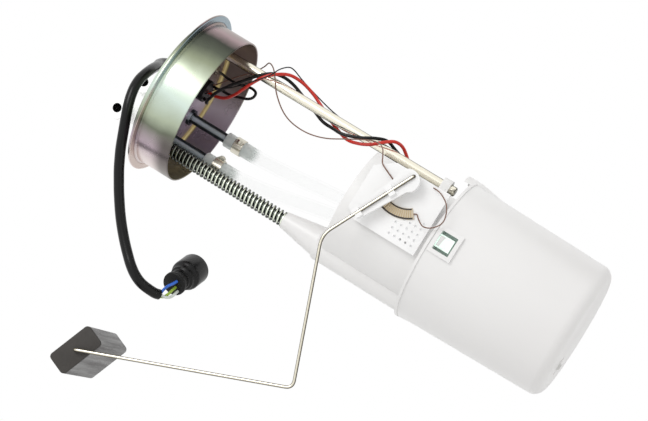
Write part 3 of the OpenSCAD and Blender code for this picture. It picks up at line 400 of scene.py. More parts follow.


# Drawn wire or tube: a painted highlight streak on its front and back, towards Y, and painted shade on its
# sides. With shadedTop it darkens up to the flange, a painted shade of the cup
def makeRound(name, bright, dark, span, rough=0.2, metal=1.0, paintedShadeEdges=False, shadedTop=0.0):
    steel = Finish(name, bright, rough=rough, metal=metal, Specular_IOR_Level=0.1)
    drawn = steel.noise(60.0, 4.0, 0.6, stretch=drawnGrain)
    paintedStreak = (steel.facingY() + (drawn - 0.5) * 0.08).ramp(*span)
    # Painted shade: the upper part, inside the flange's cup, is darkened
    if shadedTop:
        top = (steel.axes()[2] * 1000.0).ramp(-62.0, -22.0)
        bright = steel.mixColours(top * shadedTop, bright, dark)
    steel.feed("Base Color", steel.mixColours(paintedStreak, dark, bright))
    # The sides can also lose their metal, so that the painted shade on them stays dark
    if paintedShadeEdges:
        steel.feed("Metallic", paintedStreak)
    steel.feed("Roughness", rough * 0.7 + rough * 0.7 * drawn)
    steel.bump(drawn, 0.00003, 0.5)
    return steel.material


# Plastic, rubber or ceramic: a cloud of a darker shade and a fine grain
def makePlain(name, colour, rough, variation=0.08, grainScale=700.0, depth=0.00004, **constants):
    plain = Finish(name, colour, rough=rough, **constants)
    darker = [c * (1.0 - variation) for c in colour]
    plain.feed("Base Color", plain.mixColours(plain.noise(45.0, 4.0), darker, colour))
    plain.feed("Roughness", rough * 0.8 + rough * 0.4 * plain.noise(70.0, 3.0))
    plain.bump(plain.noise(grainScale, 3.0), depth, 0.6)
    return plain.material


# Milky acetal: a little darker towards the pot's base, and a painted glow behind the latch window. In mm
milkyPot = {
    "colours": ((0.93, 0.928, 0.925), (0.905, 0.90, 0.898)), "flow": (0.915, 0.912, 0.91),
    "darkens": (225.0, 350.0), "drift": 40.0,
    "glow": (0.78, 0.90, 0.84), "wall": 54.6, "taper": 0.0207, "mouth": 229.0,
    "rim": (-232.4, -231.6), "windowFoot": (-254.0, -252.0), "windowSide": (-36.0, -34.0),
}


# The pot's inner wall is at radius wall + taper (z + mouth)
def makeMilky(look):
    milky = Finish("milkyAcetal", (0.92, 0.915, 0.91), rough=0.3, Subsurface_Weight=0.35,
                   Subsurface_Radius=(0.008, 0.008, 0.008), IOR=1.45, Emission_Strength=0.5)
    x, y, z = milky.axes()
    flow = milky.noise(18.0, 4.0, 0.5, stretch=(1.0, 1.0, 0.35))
    low = (z * -1000.0 + (flow - 0.5) * look["drift"]).ramp(*look["darkens"])
    body = milky.mixColours(low, *look["colours"])
    milky.feed("Base Color", milky.mixColours(flow.ramp(0.35, 0.7), body, look["flow"]))
    radius = (x * x + y * y).root() * 1000.0
    wall = look["wall"] + (z * 1000.0 + look["mouth"]) * look["taper"]
    hidden = (1.0 - (radius - wall).ramp(0.0, 0.4)) * (1.0 - (z * 1000.0).ramp(*look["rim"]))
    near = (z * 1000.0).ramp(*look["windowFoot"]) * (1.0 - (y * 1000.0).ramp(*look["windowSide"]))
    # The glow behind the latch window is painted light
    milky.feed("Emission Color", milky.mixColours(hidden * near, (0.0, 0.0, 0.0), look["glow"]))
    milky.feed("Roughness", 0.24 + 0.16 * milky.noise(50.0, 4.0))
    milky.bump(milky.noise(260.0, 3.0), 0.00006, 0.4)
    return milky.material


# Pale hose: milky under the clamp and clear below it
clearHose = {"clear": 0.03, "milky": 0.67, "fade": (-70.0, -58.0), "uneven": 5.0}


def makeHoseFinish(look):
    hose = Finish("paleHose", (0.93, 0.95, 0.94), rough=0.28, IOR=1.4)
    z = hose.axes()[2]
    cloud = hose.noise(140.0, 3.0)
    height = z * 1000.0 + (cloud - 0.5) * look["uneven"]
    hose.feed("Alpha", look["clear"] + look["milky"] * height.ramp(*look["fade"]))
    hose.feed("Base Color", hose.mixColours(cloud, (0.86, 0.90, 0.89), (0.96, 0.97, 0.96)))
    hose.feed("Roughness", 0.2 + 0.2 * cloud)
    return hose.material


# Float: the ends darker than the sides, a painted shade; streaks along the sides, and darker along the front
# edge
floatToneAndShade = {
    "side": ((0.33, 0.32, 0.32), (0.60, 0.60, 0.60)), "end": ((0.15, 0.135, 0.12), (0.24, 0.225, 0.21)),
    "darkFrontEdgeColour": (0.17, 0.16, 0.15), "darkFrontEdge": (-55.6, -53.2),
}


def makeFloatFinish(look):
    skin = Finish("floatToneAndShade", (0.27, 0.25, 0.24), rough=0.6)
    streaks = skin.noise(30.0, 5.0, 0.65, stretch=(7.0, 0.35, 7.0))
    side = skin.mixColours(streaks.ramp(0.3, 0.72), *look["side"])
    end = skin.mixColours(skin.noise(90.0, 4.0), *look["end"])
    # Darker along the front edge
    darkFrontEdge = 1.0 - (skin.axes()[1] * 1000.0 + (streaks - 0.5) * 3.0).ramp(*look["darkFrontEdge"])
    side = skin.mixColours(darkFrontEdge, side, look["darkFrontEdgeColour"])
    # Painted shade: the ends take the darker colours and the sides the lighter ones
    skin.feed("Base Color", skin.mixColours(skin.facingY().ramp(0.45, 0.8), side, end))
    skin.feed("Roughness", 0.42 + 0.3 * streaks)
    skin.bump(streaks, 0.0002, 0.4)
    return skin.material


# Nylon elbow: white outside with a painted glow, and a painted shade in the bore. Each has its bore's mouth in
# metres and its direction
elbows = {
    "outlet_elbow": ("outletElbow", (-0.008634, 0.019165, 0.034), (0.139173, -0.990268, 0.0)),
    "return_elbow": ("returnElbow", (-0.034482, -0.002935, 0.034), (-0.087156, -0.996195, 0.0)),
}
elbowBore = {"radius": (3.5, 3.7), "end": (-22.0, -21.0), "colour": (0.10, 0.09, 0.09)}


# The distance from the bore's axis is the root of the whole distance squared less the reach along it squared
def makeElbowFinish(name, start, along, bore):
    nylon = Finish(name, (0.95, 0.95, 0.95), rough=0.38, Subsurface_Weight=0.25,
                   Subsurface_Radius=(0.005, 0.005, 0.005), Emission_Strength=0.22)
    parts = [part - place for part, place in zip(nylon.axes(), start)]
    reach = parts[0] * along[0] + parts[1] * along[1] + parts[2] * along[2]
    square = parts[0] * parts[0] + parts[1] * parts[1] + parts[2] * parts[2]
    away = (square - reach * reach).most(0.0).root() * 1000.0
    inner = (1.0 - away.ramp(*bore["radius"])) * (reach * 1000.0).ramp(*bore["end"])
    white = nylon.mixColours(nylon.noise(45.0, 4.0), (0.93, 0.93, 0.93), (0.97, 0.97, 0.97))
    # The white emission outside is painted light; the dark colour inside the bore is painted shade
    nylon.feed("Emission Color", nylon.mixColours(inner, (1.0, 1.0, 1.0), (0.0, 0.0, 0.0)))
    nylon.feed("Base Color", nylon.mixColours(inner, white, bore["colour"]))
    nylon.feed("Roughness", 0.3 + 0.15 * nylon.noise(70.0, 3.0))
    nylon.bump(nylon.noise(700.0, 3.0), 0.00004, 0.6)
    return nylon.material


finishes = {
    "yellow_zinc": makeZinc(zincTintAndPaintedReflections),
    "plated_steel": makeBrightSteel("platedSteel", (0.90, 0.88, 0.82)),
    # The pipe and the spring take a painted highlight streak and painted shade on their sides
    "pipe_steel": makeRound("darkPipe", (0.78, 0.83, 0.86), (0.20, 0.22, 0.24), (0.82, 0.99), metal=0.45),
    "spring_steel": makeRound("springSteel", (0.96, 0.99, 0.92), (0.17, 0.19, 0.17), (0.31, 0.77), 0.16,
                              shadedTop=0.75),
    # White nylon glows a little from its emission: painted light
    "white_nylon": makePlain("whiteNylon", (0.95, 0.95, 0.95), 0.38, 0.03, Subsurface_Weight=0.25,
                             Subsurface_Radius=(0.005, 0.005, 0.005), Emission_Strength=0.03,
                             Emission_Color=(1.0, 1.0, 1.0, 1.0)),
    "milky_acetal": makeMilky(milkyPot),
    "pale_hose": makeHoseFinish(clearHose),
    "black_rubber": makePlain("blackRubber", (0.055, 0.055, 0.055), 0.45, 0.25, Specular_IOR_Level=0.3),
    "black_sheath": makeSheath(cableSheath),
    "blue_core": makePlain("blueCore", (0.20, 0.42, 0.82), 0.35),
    "green_core": makePlain("greenCore", (0.62, 0.74, 0.25), 0.35),
    "natural_core": makePlain("naturalCore", (0.86, 0.88, 0.86), 0.3),
    "red_core": makePlain("redCore", (0.84, 0.18, 0.12), 0.33, 0.15),
    "black_core": makePlain("blackCore", (0.05, 0.05, 0.05), 0.33, 0.2, Specular_IOR_Level=0.3),
    "brown_core": makePlain("brownCore", (0.50, 0.35, 0.28), 0.35, 0.2),
    "black_plastic": makePlain("blackPlastic", (0.045, 0.045, 0.05), 0.3, 0.2, Specular_IOR_Level=0.3),
    "brass_pins": makeBrightSteel("brassPins", (0.85, 0.70, 0.40)),
    "pump_can_steel": makeBrightSteel("canSteel", (0.78, 0.79, 0.80), 0.25),
    "ferrite": makePlain("ferrite", (0.28, 0.28, 0.30), 0.6, 0.2),
    "copper_windings": makeBrightSteel("woundCopper", (0.78, 0.50, 0.33), 0.35),
    "impeller_plastic": makePlain("impellerPlastic", (0.80, 0.74, 0.62), 0.45),
    "mesh_nylon": makePlain("meshNylon", (0.86, 0.86, 0.82), 0.7, 0.1, 1800.0, 0.0002),
    "ceramic_card": makePlain("ceramicCard", (0.84, 0.78, 0.68), 0.5, 0.12),
    "carbon": makePlain("carbonBrush", (0.16, 0.16, 0.16), 0.6, 0.2),
    "float_foam": makeFloatFinish(floatToneAndShade),
}
slotOfNode = {s["node"]: s["material_slot"] for s in frame["record"]["subparts"]}


def paintNode(name, material):
    nodes[name].data.materials.clear()
    nodes[name].data.materials.append(material)


for nodeName in nodes:
    paintNode(nodeName, finishes[slotOfNode[nodeName]])
for nodeName, (finishName, start, along) in elbows.items():
    paintNode(nodeName, makeElbowFinish(finishName, start, along, elbowBore))
paintNode("foot_valve", makePlain("paleValve", (0.84, 0.84, 0.83), 0.4))
# The rods and the arm take a painted highlight streak and painted shade on their sides
paintNode("long_guide_rod", makeRound("platedRod", (0.97, 0.95, 0.88), (0.30, 0.28, 0.22), (0.31, 0.635)))
paintNode("spring_guide_rod", makeRound("shadedRod", (0.42, 0.44, 0.42), (0.10, 0.11, 0.10), (0.51, 0.92)))
armFinish = makeRound("armSteel", (0.92, 0.90, 0.83), (0.30, 0.27, 0.22), (0.675, 0.99), paintedShadeEdges=True)
print("finishes made:", len(finishes))


# Cord: the cable from the gland over the flange and down to the connector

cable = {
    "diameter": 8.0, "sides": 28, "steps": 5,
    "route": [
        [18.8, 40.8, 7.5], [18.8, 40.8, 12.2], [18.7, 40.2, 16.4], [18.3, 38.7, 20.1], [17.7, 36.7, 23.6],
        [15.6, 29.9, 29.6], [13.2, 22.1, 32.3], [10.6, 14.1, 32.3], [8.6, 6.4, 30], [6.7, -1.1, 28.4],
        [4.3, -8.8, 27.2], [1.3, -16.3, 26], [-2.7, -23.1, 25.2], [-8.4, -29, 24.7], [-15, -33.1, 23.5],
        [-22.4, -35.4, 21.5], [-30, -36, 19], [-37.5, -35.4, 16.2], [-45, -33.9, 13.5], [-52.4, -31.9, 11],
        [-59.5, -29.6, 8.6], [-66.6, -27.5, 5.6], [-73.9, -25.6, 2.1], [-80.8, -24, -1.8], [-87.6, -22.7, -5.9],
        [-94.3, -21.6, -10.4], [-100.8, -20.9, -15.1], [-107, -20.3, -20.1], [-113, -20, -25.5],
        [-118.7, -20.1, -31.2], [-124.1, -20.5, -37.2], [-129.3, -21.1, -43.5], [-133.9, -20.3, -50.4],
        [-136.9, -17.7, -57.8], [-137.9, -11.5, -67], [-137.2, -8, -70.4],
    ],
}

cablePath = smoothRoute(cable["route"], cable["steps"])
cableShape = tube(cablePath, cable["diameter"] / 2, cable["sides"])
harness = addPiece("harnessSheath", *cableShape, finishes["black_sheath"], "flange", "black_sheath")
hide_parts("harness_cable")


# Connector: a rear seal, a waist and a barrel, turned about one axis

connector = {
    "at": (-125.7, 6.5, -72.0), "direction": (0.52, 0.855, 0.0), "sides": 96,
    "seal": [(0.4, 0.0), (8.3, 0.0), (9.0, 0.25), (9.25, 0.9), (9.25, 3.0), (9.0, 3.6), (8.3, 3.9),
             (7.6, 4.4), (7.3, 5.2), (7.3, 8.9), (0.4, 9.0)],
    "shell": [(0.4, 9.0), (7.6, 9.05), (7.9, 9.6), (8.0, 10.6), (8.5, 11.3), (9.3, 11.6), (9.7, 12.0),
              (9.75, 13.0), (9.4, 13.5), (9.3, 14.2), (9.6, 15.2), (10.6, 16.4), (11.5, 17.4),
              (11.9, 18.4), (12.0, 19.6), (12.0, 32.9), (11.85, 33.6), (11.4, 34.0), (10.5, 34.0),
              (10.0, 33.4), (10.0, 21.2), (9.6, 21.0), (0.4, 21.0)],
}


def makeConnector(size):
    parts = (("connectorSeal", "seal", "connector_seal", "black_rubber"),
             ("connectorShell", "shell", "connector_shell", "black_plastic"))
    made = []
    for name, key, node, slot in parts:
        points, faces = lathe(size[key], size["sides"])
        points = aimed(points, size["at"], size["direction"])
        piece = addPiece(name, points, faces, finishes[slot], "flange", slot, 50.0)
        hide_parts(node)
        made.append(piece)
    return made


connectorPieces = makeConnector(connector)


# The three cores between the cable's end and the seal

coreSize = {"radius": 1.1, "sides": 12, "steps": 8}
cores = {
    "blueCore": ("wire_blue", "blue_core", [
        [-135.84, -7.34, -69.88], [-135.7, -6.6, -70.6], [-133.2, -4.3, -70.3], [-129.2, -1.4, -70.8],
        [-125.4, 1.4, -72.6], [-122.4, 4.3, -73.6]]),
    "greenCore": ("wire_green", "green_core", [
        [-138.4, -7.42, -70.48], [-138.26, -6.7, -71.18], [-137, -4.2, -73.4], [-133.4, -0.6, -74.4],
        [-129.8, 3, -74.4], [-126.9, 7, -74.4]]),
    "naturalCore": ("wire_natural", "natural_core", [
        [-136.95, -8.95, -71.76], [-136.8, -8.24, -72.46], [-136.4, -5.6, -75.6], [-134.2, -1.6, -77.6],
        [-131.2, 3, -77.7], [-128.6, 7.9, -77.2]]),
}


def makeCores(sets, size):
    made = []
    for name, (node, slot, route) in sets.items():
        points, faces = tube(smoothRoute(route, size["steps"]), size["radius"], size["sides"])
        piece = addPiece(name, points, faces, finishes[slot], "flange", slot, 50.0)
        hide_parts(node)
        made.append(piece)
    return made


corePieces = makeCores(cores, coreSize)
print("connector made")


# Flange: two pressings turned about Z

flange = {
    "rim": 67.0, "rimSheet": 2.2, "skirt": 60.0, "depth": 29.0, "floor": 4.5, "sheet": 1.2,
    "dome": 58.5, "domeHeight": 7.0, "neck": 1.5, "lap": 0.4, "corner": 2.5, "edge": 0.5,
    "shoulderDrop": 1.2, "foot": 1.0, "seatGap": 0.3, "chamfer": 0.25, "roll": 0.6, "core": 0.5, "sides": 256,
}


def makeFlange(size):
    shoulder = size["domeHeight"] - size["rimSheet"] - size["shoulderDrop"]
    inner = size["dome"] - size["sheet"]
    seat = size["skirt"] + size["neck"] + size["seatGap"]
    half = size["rimSheet"] / 2
    shoulderAt = (size["dome"] - shoulder, size["domeHeight"] - shoulder)
    footAt = (size["dome"] + size["foot"], size["rimSheet"] + size["foot"])
    top = np.vstack([
        [(size["core"], size["domeHeight"] - size["sheet"])],
        arc(shoulderAt, shoulder - size["sheet"], 90, 0, 8),
        [(inner, size["lap"]), (seat, size["lap"]), (seat, size["chamfer"]), (seat + size["chamfer"], 0.0)],
        arc((size["rim"] - half, half), half, -90, 90, 12),
        arc(footAt, size["foot"], 270, 180, 6),
        arc(shoulderAt, shoulder, 0, 90, 12),
        [(size["core"], size["domeHeight"])],
    ])
    wall = size["skirt"] - size["sheet"]
    neck = size["skirt"] + size["neck"]
    cornerAt = (wall - size["corner"], -size["floor"] - size["corner"])
    rollAt = (size["skirt"] - size["roll"], -size["depth"] + size["roll"])
    skirt = np.vstack([
        [(size["core"], -size["floor"])],
        arc(cornerAt, size["corner"], 90, 0, 8),
        [(wall, -size["depth"] + size["edge"])],
        arc(rollAt, size["roll"], 180, 360, 8),
        arc((neck, -size["neck"]), size["neck"], 180, 90, 8),
        [(neck, size["lap"]), (wall, size["lap"]), (wall - 1, -size["floor"] + size["sheet"]),
         (size["core"], -size["floor"] + size["sheet"])],
    ])
    zinc = finishes["yellow_zinc"]
    rim = addPiece("flangeRim", *lathe(top, size["sides"]), zinc, "flange", "yellow_zinc", 35.0)
    cup = addPiece("flangeCup", *lathe(skirt, size["sides"]), zinc, "flange", "yellow_zinc", 35.0)
    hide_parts("flange_top")
    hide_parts("flange_skirt")


makeFlange(flange)
print("flange made")


# Spring: a helix whose first and last three quarters of a turn lie flat

spring = {
    "at": (-40.5, 0.0), "coil": 5.2, "wire": 0.85, "turns": 36, "flat": 0.75, "top": -5.1, "bottom": -119.4,
    "steps": 26, "holds": (-4.5, -120.0),
}


# Height: bottom + pitch (turn - flat), held level between the flat ends; x and y: coil (cos a, sin a)
def makeSpring(size):
    turn = np.arange(size["turns"] * size["steps"] + 1) / size["steps"]
    rising = size["turns"] - 2 * size["flat"]
    pitch = (size["top"] - size["bottom"]) / rising
    height = size["bottom"] + pitch * np.clip(turn - size["flat"], 0, rising)
    a = 2 * math.pi * turn
    x, y = size["at"]
    path = np.stack([x + size["coil"] * np.cos(a), y + size["coil"] * np.sin(a), height], axis=1)
    points, faces = tube(path, size["wire"], 8, across=(0.0, 0.0, 1.0))
    piece = addPiece("springCoil", points, faces, finishes["spring_steel"], None, "spring_steel", 60.0)
    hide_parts("return_spring")
    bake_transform(piece)


makeSpring(spring)
print("spring made")


# Hoses: upright over a stub, across on an S curve, and upright over a nipple

hoses = {
    "radius": 6.0, "bore": 4.06, "chamfer": 0.3, "sides": 40,
    "stub": -56.0, "nipple": -180.0, "over": 17.0, "under": 14.0, "straight": 2.0,
    "outlet": ((-11.0, 36.0), (-3.0, 8.0)),
    "return": ((-33.0, 14.0), (-14.5, 24.0)),
}


# Between the ends the hose moves across by t^2 (3 - 2 t) of the way
def makeHose(name, ends, node, size):
    start, end = (np.asarray(p, float) for p in ends)
    t = np.linspace(0, 1, 41)[:, None]
    z = size["stub"] - size["straight"] + (size["nipple"] - size["stub"] + 2 * size["straight"]) * t
    middle = np.hstack([start + (end - start) * t**2 * (3 - 2 * t), z])
    head = [[*start, size["stub"] + size["over"] * k] for k in (1.0, 0.98, 0.5, 0.0)]
    tail = [[*end, size["nipple"] - size["under"] * k] for k in (0.0, 0.5, 0.98, 1.0)]
    path = np.vstack([head, middle, tail])
    radius = np.full(len(path), size["radius"])
    radius[0] = radius[-1] = size["radius"] - size["chamfer"]
    points, faces = tube(path, radius, size["sides"], size["bore"])
    piece = addPiece(name, points, faces, finishes["pale_hose"], None, "pale_hose", 50.0)
    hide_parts(node)
    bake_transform(piece)


makeHose("outletHose", hoses["outlet"], "outlet_hose", hoses)
makeHose("returnHose", hoses["return"], "return_hose", hoses)
print("hoses made")


# Wires under the flange; they wind round the long rod on their way to the pump and the sender

wires = {
    "redWire": {"node": "pump_wire_red", "slot": "red_core", "radius": 1.3, "lug": True, "route": [
        [12, 22, -10.3], [12, 21.6, -13], [12, 19, -18], [14.5, 13, -27], [20, 3, -35], [27, -4, -40.5],
        [35, -7.8, -45.5], [42.5, -10, -51], [49, -8, -57.5], [54, -2, -65], [54.5, 5, -74.5],
        [51.5, 9.5, -85.5], [46.5, 9.5, -96.5], [40, 6, -111], [35, -3, -127.5], [36, -9, -138],
        [40, -10.5, -147], [46, -9.5, -154], [51.5, -5, -160.5], [52, 3, -166], [47.5, 9.5, -172],
        [41, 12, -178], [33, 11, -181.5], [25, 7, -183.4], [20, 3.6, -185.4], [18, 2, -189.6]]},
    "blackWire": {"node": "pump_wire_black", "slot": "black_core", "radius": 1.3, "lug": True, "route": [
        [6, 22, -10.3], [5.8, 21.4, -13], [4.2, 17.2, -15.6], [4.8, 11.5, -16.6], [8.5, 7.5, -18.6],
        [15, 4, -22], [24, 0, -29], [31, -3.5, -36], [38, -5.8, -42.5], [43.5, -6.5, -48],
        [48.5, -4.5, -54.5], [50.5, 1, -62], [49.5, 5.5, -70], [46, 6.6, -80], [42, 6.2, -91],
        [37.3, 3, -104], [36.5, -2, -115], [36.5, -6, -124.5], [40.5, -7, -136.5], [46.5, -6, -147.5],
        [49.5, -1, -155], [47.5, 6, -162], [45, 11.5, -168], [40, 15.5, -174], [33, 17, -179],
        [25, 17, -182], [17.5, 14.8, -184.8], [14, 13, -189.6]]},
    "brownWire": {"node": "sender_wire_brown", "slot": "brown_core", "radius": 0.5, "lug": False, "route": [
        [19.5, 24, -10.2], [20, 23.9, -12], [33, 20, -24], [43, 12, -36], [50, 7, -42], [54, 1, -45.5],
        [51.8, -7, -52.5], [44.5, -13.5, -60.5], [37, -12.5, -66], [29, -11.5, -75.5], [24.5, -11, -85],
        [23, -11, -96], [24, -12, -107], [27.5, -13, -118], [33.5, -13.5, -129], [39, -14, -139],
        [43, -16, -148], [43.5, -24, -156], [41, -34, -162], [36, -44, -167], [31, -49.6, -171],
        [28, -50.9, -177], [25, -49.6, -184]]},
    "darkWire": {"node": "sender_wire_dark", "slot": "black_core", "radius": 0.5, "lug": False, "route": [
        [10, 16, -10.2], [10, 15.6, -12], [11.2, 7, -15], [15.5, -3, -22], [25, -10, -36],
        [35, -13.5, -46.5], [45.5, -15, -55.5], [53, -12, -58.5], [58.5, -4, -61.5], [59, 0, -65.5],
        [56.5, 9, -72], [53, 13, -84], [48, 13, -105], [45, 11.5, -130], [47, 14.5, -155], [40, 19, -172],
        [33, 20.5, -182], [31.5, 12, -190], [31.5, 0, -193], [29.5, -14, -191.5], [26, -26, -189],
        [23, -34, -187.3], [22, -40, -187], [22, -45.9, -187]]},
}
earthWire = {"radius": 1.1, "route": [
    [18, 27, -10.3], [18, 26.6, -13], [18.5, 22, -19], [18.5, 15, -28], [20.5, 9, -38], [22.5, 6, -44.5],
    [25.5, 4.5, -48], [29.5, 4.5, -48], [31, 6, -43.5], [30, 8.5, -37], [28.5, 11.5, -29], [28.5, 16, -20],
    [29.5, 24, -13], [30, 31, -7.8]]}
wireLug = {"radius": 2.3, "tip": 2.0, "length": 5.0}


# A pump wire ends in a lug that points straight down
def makeWires(sets, earth, lug):
    for name, wire in sets.items():
        path = smoothRoute(wire["route"], 6)
        radius = np.full(len(path), wire["radius"])
        if wire["lug"]:
            drops = np.array([0.1, lug["length"] - 0.1, lug["length"]])
            path = np.vstack([path, path[-1] - drops[:, None] * [0, 0, 1]])
            radius = np.append(radius, [lug["radius"], lug["radius"], lug["tip"]])
        points, faces = tube(path, radius, 12 if wire["radius"] > 1 else 8)
        piece = addPiece(name, points, faces, finishes[wire["slot"]], None, wire["slot"], 50.0)
        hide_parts(wire["node"])
        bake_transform(piece)
    points, faces = tube(smoothRoute(earth["route"], 6), earth["radius"], 12)
    piece = addPiece("earthWire", points, faces, finishes["black_core"], "flange", "black_core", 50.0)
    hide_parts("earth_wire")


makeWires(wires, earthWire, wireLug)
print("wires made")


# Float arm: straight runs of wire with rounded corners

floatArm = {
    "pivot": (29.5, -195.0), "depth": -60.5, "radius": 1.2, "hook": 5.4, "tail": 7.5, "start": -56.25,
    "bends": [(-65.2, 32.0), (-168.5, -9.0), (-230.3, 143.0)], "corners": (1.6, 18.0, 6.0, 3.0),
}


# A corner at b is b + back (u (1 - t)^2 + v t^2), where u and v point to a and to c
def rounded(a, b, c, r, steps=10):
    a, b, c = (np.asarray(p, float) for p in (a, b, c))
    u = (a - b) / np.linalg.norm(a - b)
    v = (c - b) / np.linalg.norm(c - b)
    back = r / math.tan(math.acos(float(u @ v)) / 2)
    t = np.linspace(0, 1, steps + 1)[:, None]
    return b + back * (u * (1 - t) ** 2 + v * t**2)


def makeArm(size):
    x, z = size["pivot"]
    first = np.asarray(size["bends"][0])
    hook = first / np.linalg.norm(first) * -size["hook"]
    spots = [(x + b[0], size["depth"], z + b[1]) for b in [hook, *size["bends"]]]
    start = (spots[0][0], size["start"], spots[0][2])
    end = (spots[3][0], size["tail"], spots[3][2])
    line = [start, *spots, end]
    corners = [rounded(line[i], line[i + 1], line[i + 2], size["corners"][i]) for i in range(4)]
    path = np.vstack([[start], *corners, [end]])
    points, faces = tube(path, size["radius"], 20, across=(0.6, 0.3, 0.74))
    piece = addPiece("armWire", points, faces, armFinish, "float_arm", "plated_steel", 50.0)
    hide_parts("float_arm_wire")
    return spots[3]


armEnd = makeArm(floatArm)


# Float: a bar with rounded long edges, cut square at both ends

floatBar = {
    "length": 37.0, "height": 18.0, "width": 72.0, "radius": 3.2, "edge": 0.6, "front": -57.0, "tilt": 20.7,
}


# The outline is a rounded rectangle; its rows run along the bar and shrink by the edge's arc at both ends
def makeFloat(size, at):
    r, e = size["radius"], size["edge"]
    corners = [((size["length"] / 2 - r) * sx, (size["height"] / 2 - r) * sz, a)
               for sx, sz, a in ((1, 1, 0), (-1, 1, 90), (-1, -1, 180), (1, -1, 270))]
    curve = np.radians(np.linspace(0, 90, 5))
    depth = np.concatenate([e * (1 - np.sin(curve[::-1])), size["width"] - e * (1 - np.sin(curve))])
    inset = np.concatenate([e * (1 - np.cos(curve[::-1])), e * (1 - np.cos(curve))])
    rows = []
    for d, k in zip(depth, inset):
        outline = np.vstack([arc((cx, cz), r - k, a, a + 90) for cx, cz, a in corners])
        rows.append(np.stack([outline[:, 0], np.full(len(outline), d), outline[:, 1]], axis=1))
    columns = len(rows[0])
    points = np.vstack(rows)
    faces = [f[::-1] for f in gridFaces(len(rows), columns)]
    ring = np.arange(columns)
    faces += [ring.tolist(), (ring + (len(rows) - 1) * columns)[::-1].tolist()]
    a = math.radians(size["tilt"])
    x, z = points[:, 0].copy(), points[:, 2].copy()
    points[:, 0] = x * math.cos(a) + z * math.sin(a)
    points[:, 2] = z * math.cos(a) - x * math.sin(a)
    points += [at[0], size["front"], at[2]]
    piece = addPiece("floatBar", points, faces, finishes["float_foam"], "float_arm", "float_foam", 30.0)
    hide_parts("float_block")


makeFloat(floatBar, armEnd)
print("float made")


# A thin white sheet behind the sender's plate that glows: painted light in the shade of its small holes, so
# that they read as shallow dimples
holeGlowSheet = {"x": (-12.5, 12.5), "z": (-224.0, -198.0), "y": (-45.9, -45.6)}


def makeHoleGlowSheet(size):
    (left, right), (low, high) = size["x"], size["z"]
    outline = ((left, low), (right, low), (right, high), (left, high))
    points = [(x, y, z) for y in size["y"] for x, z in outline]
    faces = [(0, 1, 2, 3), (7, 6, 5, 4), (0, 4, 5, 1), (1, 5, 6, 2), (2, 6, 7, 3), (3, 7, 4, 0)]
    # The sheet's emission is painted light
    glow = makePlain("holeGlowSheet", (0.88, 0.89, 0.89), 0.5, Emission_Strength=0.38,
                     Emission_Color=(1.0, 1.0, 1.0, 1.0))
    addPiece("senderGlowSheet", points, faces, glow, "pot", "white_nylon", 30.0)


makeHoleGlowSheet(holeGlowSheet)


# Resistor card: two dark tracks and the fingers between them, laid on its face
card = {
    "pivot": (29.5, -195.0), "face": -50.0, "from": 149.0, "to": 217.0, "sunk": -0.1,
    "tracks": ((25.7, 26.9), (19.2, 20.2)), "trackLift": 0.12, "trackSteps": 24,
    "fingers": 17, "reach": (20.2, 25.7), "width": 0.9, "fingerLift": 0.1, "margin": 3,
}


# A flat strip between two radii and two angles round the pivot: pivot + r (cos a, sin a), raised by lift
def cardStrip(size, r0, r1, a0, a1, lift, steps):
    a = np.radians(np.linspace(a0, a1, steps + 1))
    x, z = size["pivot"]
    ring = [np.stack([x + r * np.cos(a), np.full(len(a), size["face"] - h), z + r * np.sin(a)], axis=1)
            for r, h in ((r0, size["sunk"]), (r1, size["sunk"]), (r1, lift), (r0, lift))]
    points = np.stack(ring, axis=1).reshape(-1, 3)
    faces = gridFaces(len(a), 4)
    last = 4 * (len(a) - 1)
    return points, [f[::-1] for f in faces] + [[0, 1, 2, 3], [last + 3, last + 2, last + 1, last]]


def makeTracks(size):
    start, end, half = size["from"], size["to"], size["width"]
    dark = makePlain("trackDark", (0.17, 0.15, 0.14), 0.4, 0.2)
    pale = makeBrightSteel("fingerMetal", (0.80, 0.72, 0.58))
    tracks = joined(*[cardStrip(size, r0, r1, start, end, size["trackLift"], size["trackSteps"])
                      for r0, r1 in size["tracks"]])
    addPiece("cardTracks", *tracks, dark, "pot", "ceramic_card", 30.0)
    spots = np.linspace(start + size["margin"], end - size["margin"], size["fingers"])
    fingers = joined(*[cardStrip(size, *size["reach"], a - half, a + half, size["fingerLift"], 1)
                       for a in spots])
    addPiece("cardFingers", *fingers, pale, "pot", "ceramic_card", 30.0)


makeTracks(card)
print("sender details made")


# Lead from the resistor card round in front of the pot's rim

lead = {"radius": 0.45, "sides": 10, "steps": 8, "route": [
    [11.5, -49.5, -209.6], [12.4, -50.2, -212], [9.8, -53, -215.6], [7.2, -56.6, -221.4], [9.6, -59.5, -228],
    [16, -60, -232.4], [23, -59.6, -231.4], [29.6, -58, -227], [34, -54, -219], [35, -49.6, -212]]}
leadShape = tube(smoothRoute(lead["route"], lead["steps"]), lead["radius"], lead["sides"])
leadPiece = addPiece("senderLead", *leadShape, finishes["brown_core"], "pot", "brown_core")
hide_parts("sender_lead")
print("lead made")


# Stage: a pale floor far below, soft lamps, dark cards, and a white background for what the camera sees.
# Places are metres right, up and back from the middle, as the camera looks

stage = {
    "middle": (-30.0, 0.0, -150.0), "floorReach": 6.0, "floorHeight": -0.9,
    "skyColour": (1.0, 0.995, 0.985, 1.0), "sky": 0.8, "background": 1.0,
    "lamps": {
        "keyLamp": {"at": (-0.55, 0.75, 0.85), "size": 0.7, "power": 5.5},
        "fillLamp": {"at": (0.9, -0.1, 0.9), "size": 0.9, "power": 2.0},
    },
    "cards": {
        "darkCardLow": {"at": (0.5, -1.1, 0.3), "width": 1.2, "height": 0.7, "shade": 0.12},
        "darkCardTop": {"at": (0.9, 1.0, -0.2), "width": 1.0, "height": 0.5, "shade": 0.2},
    },
}


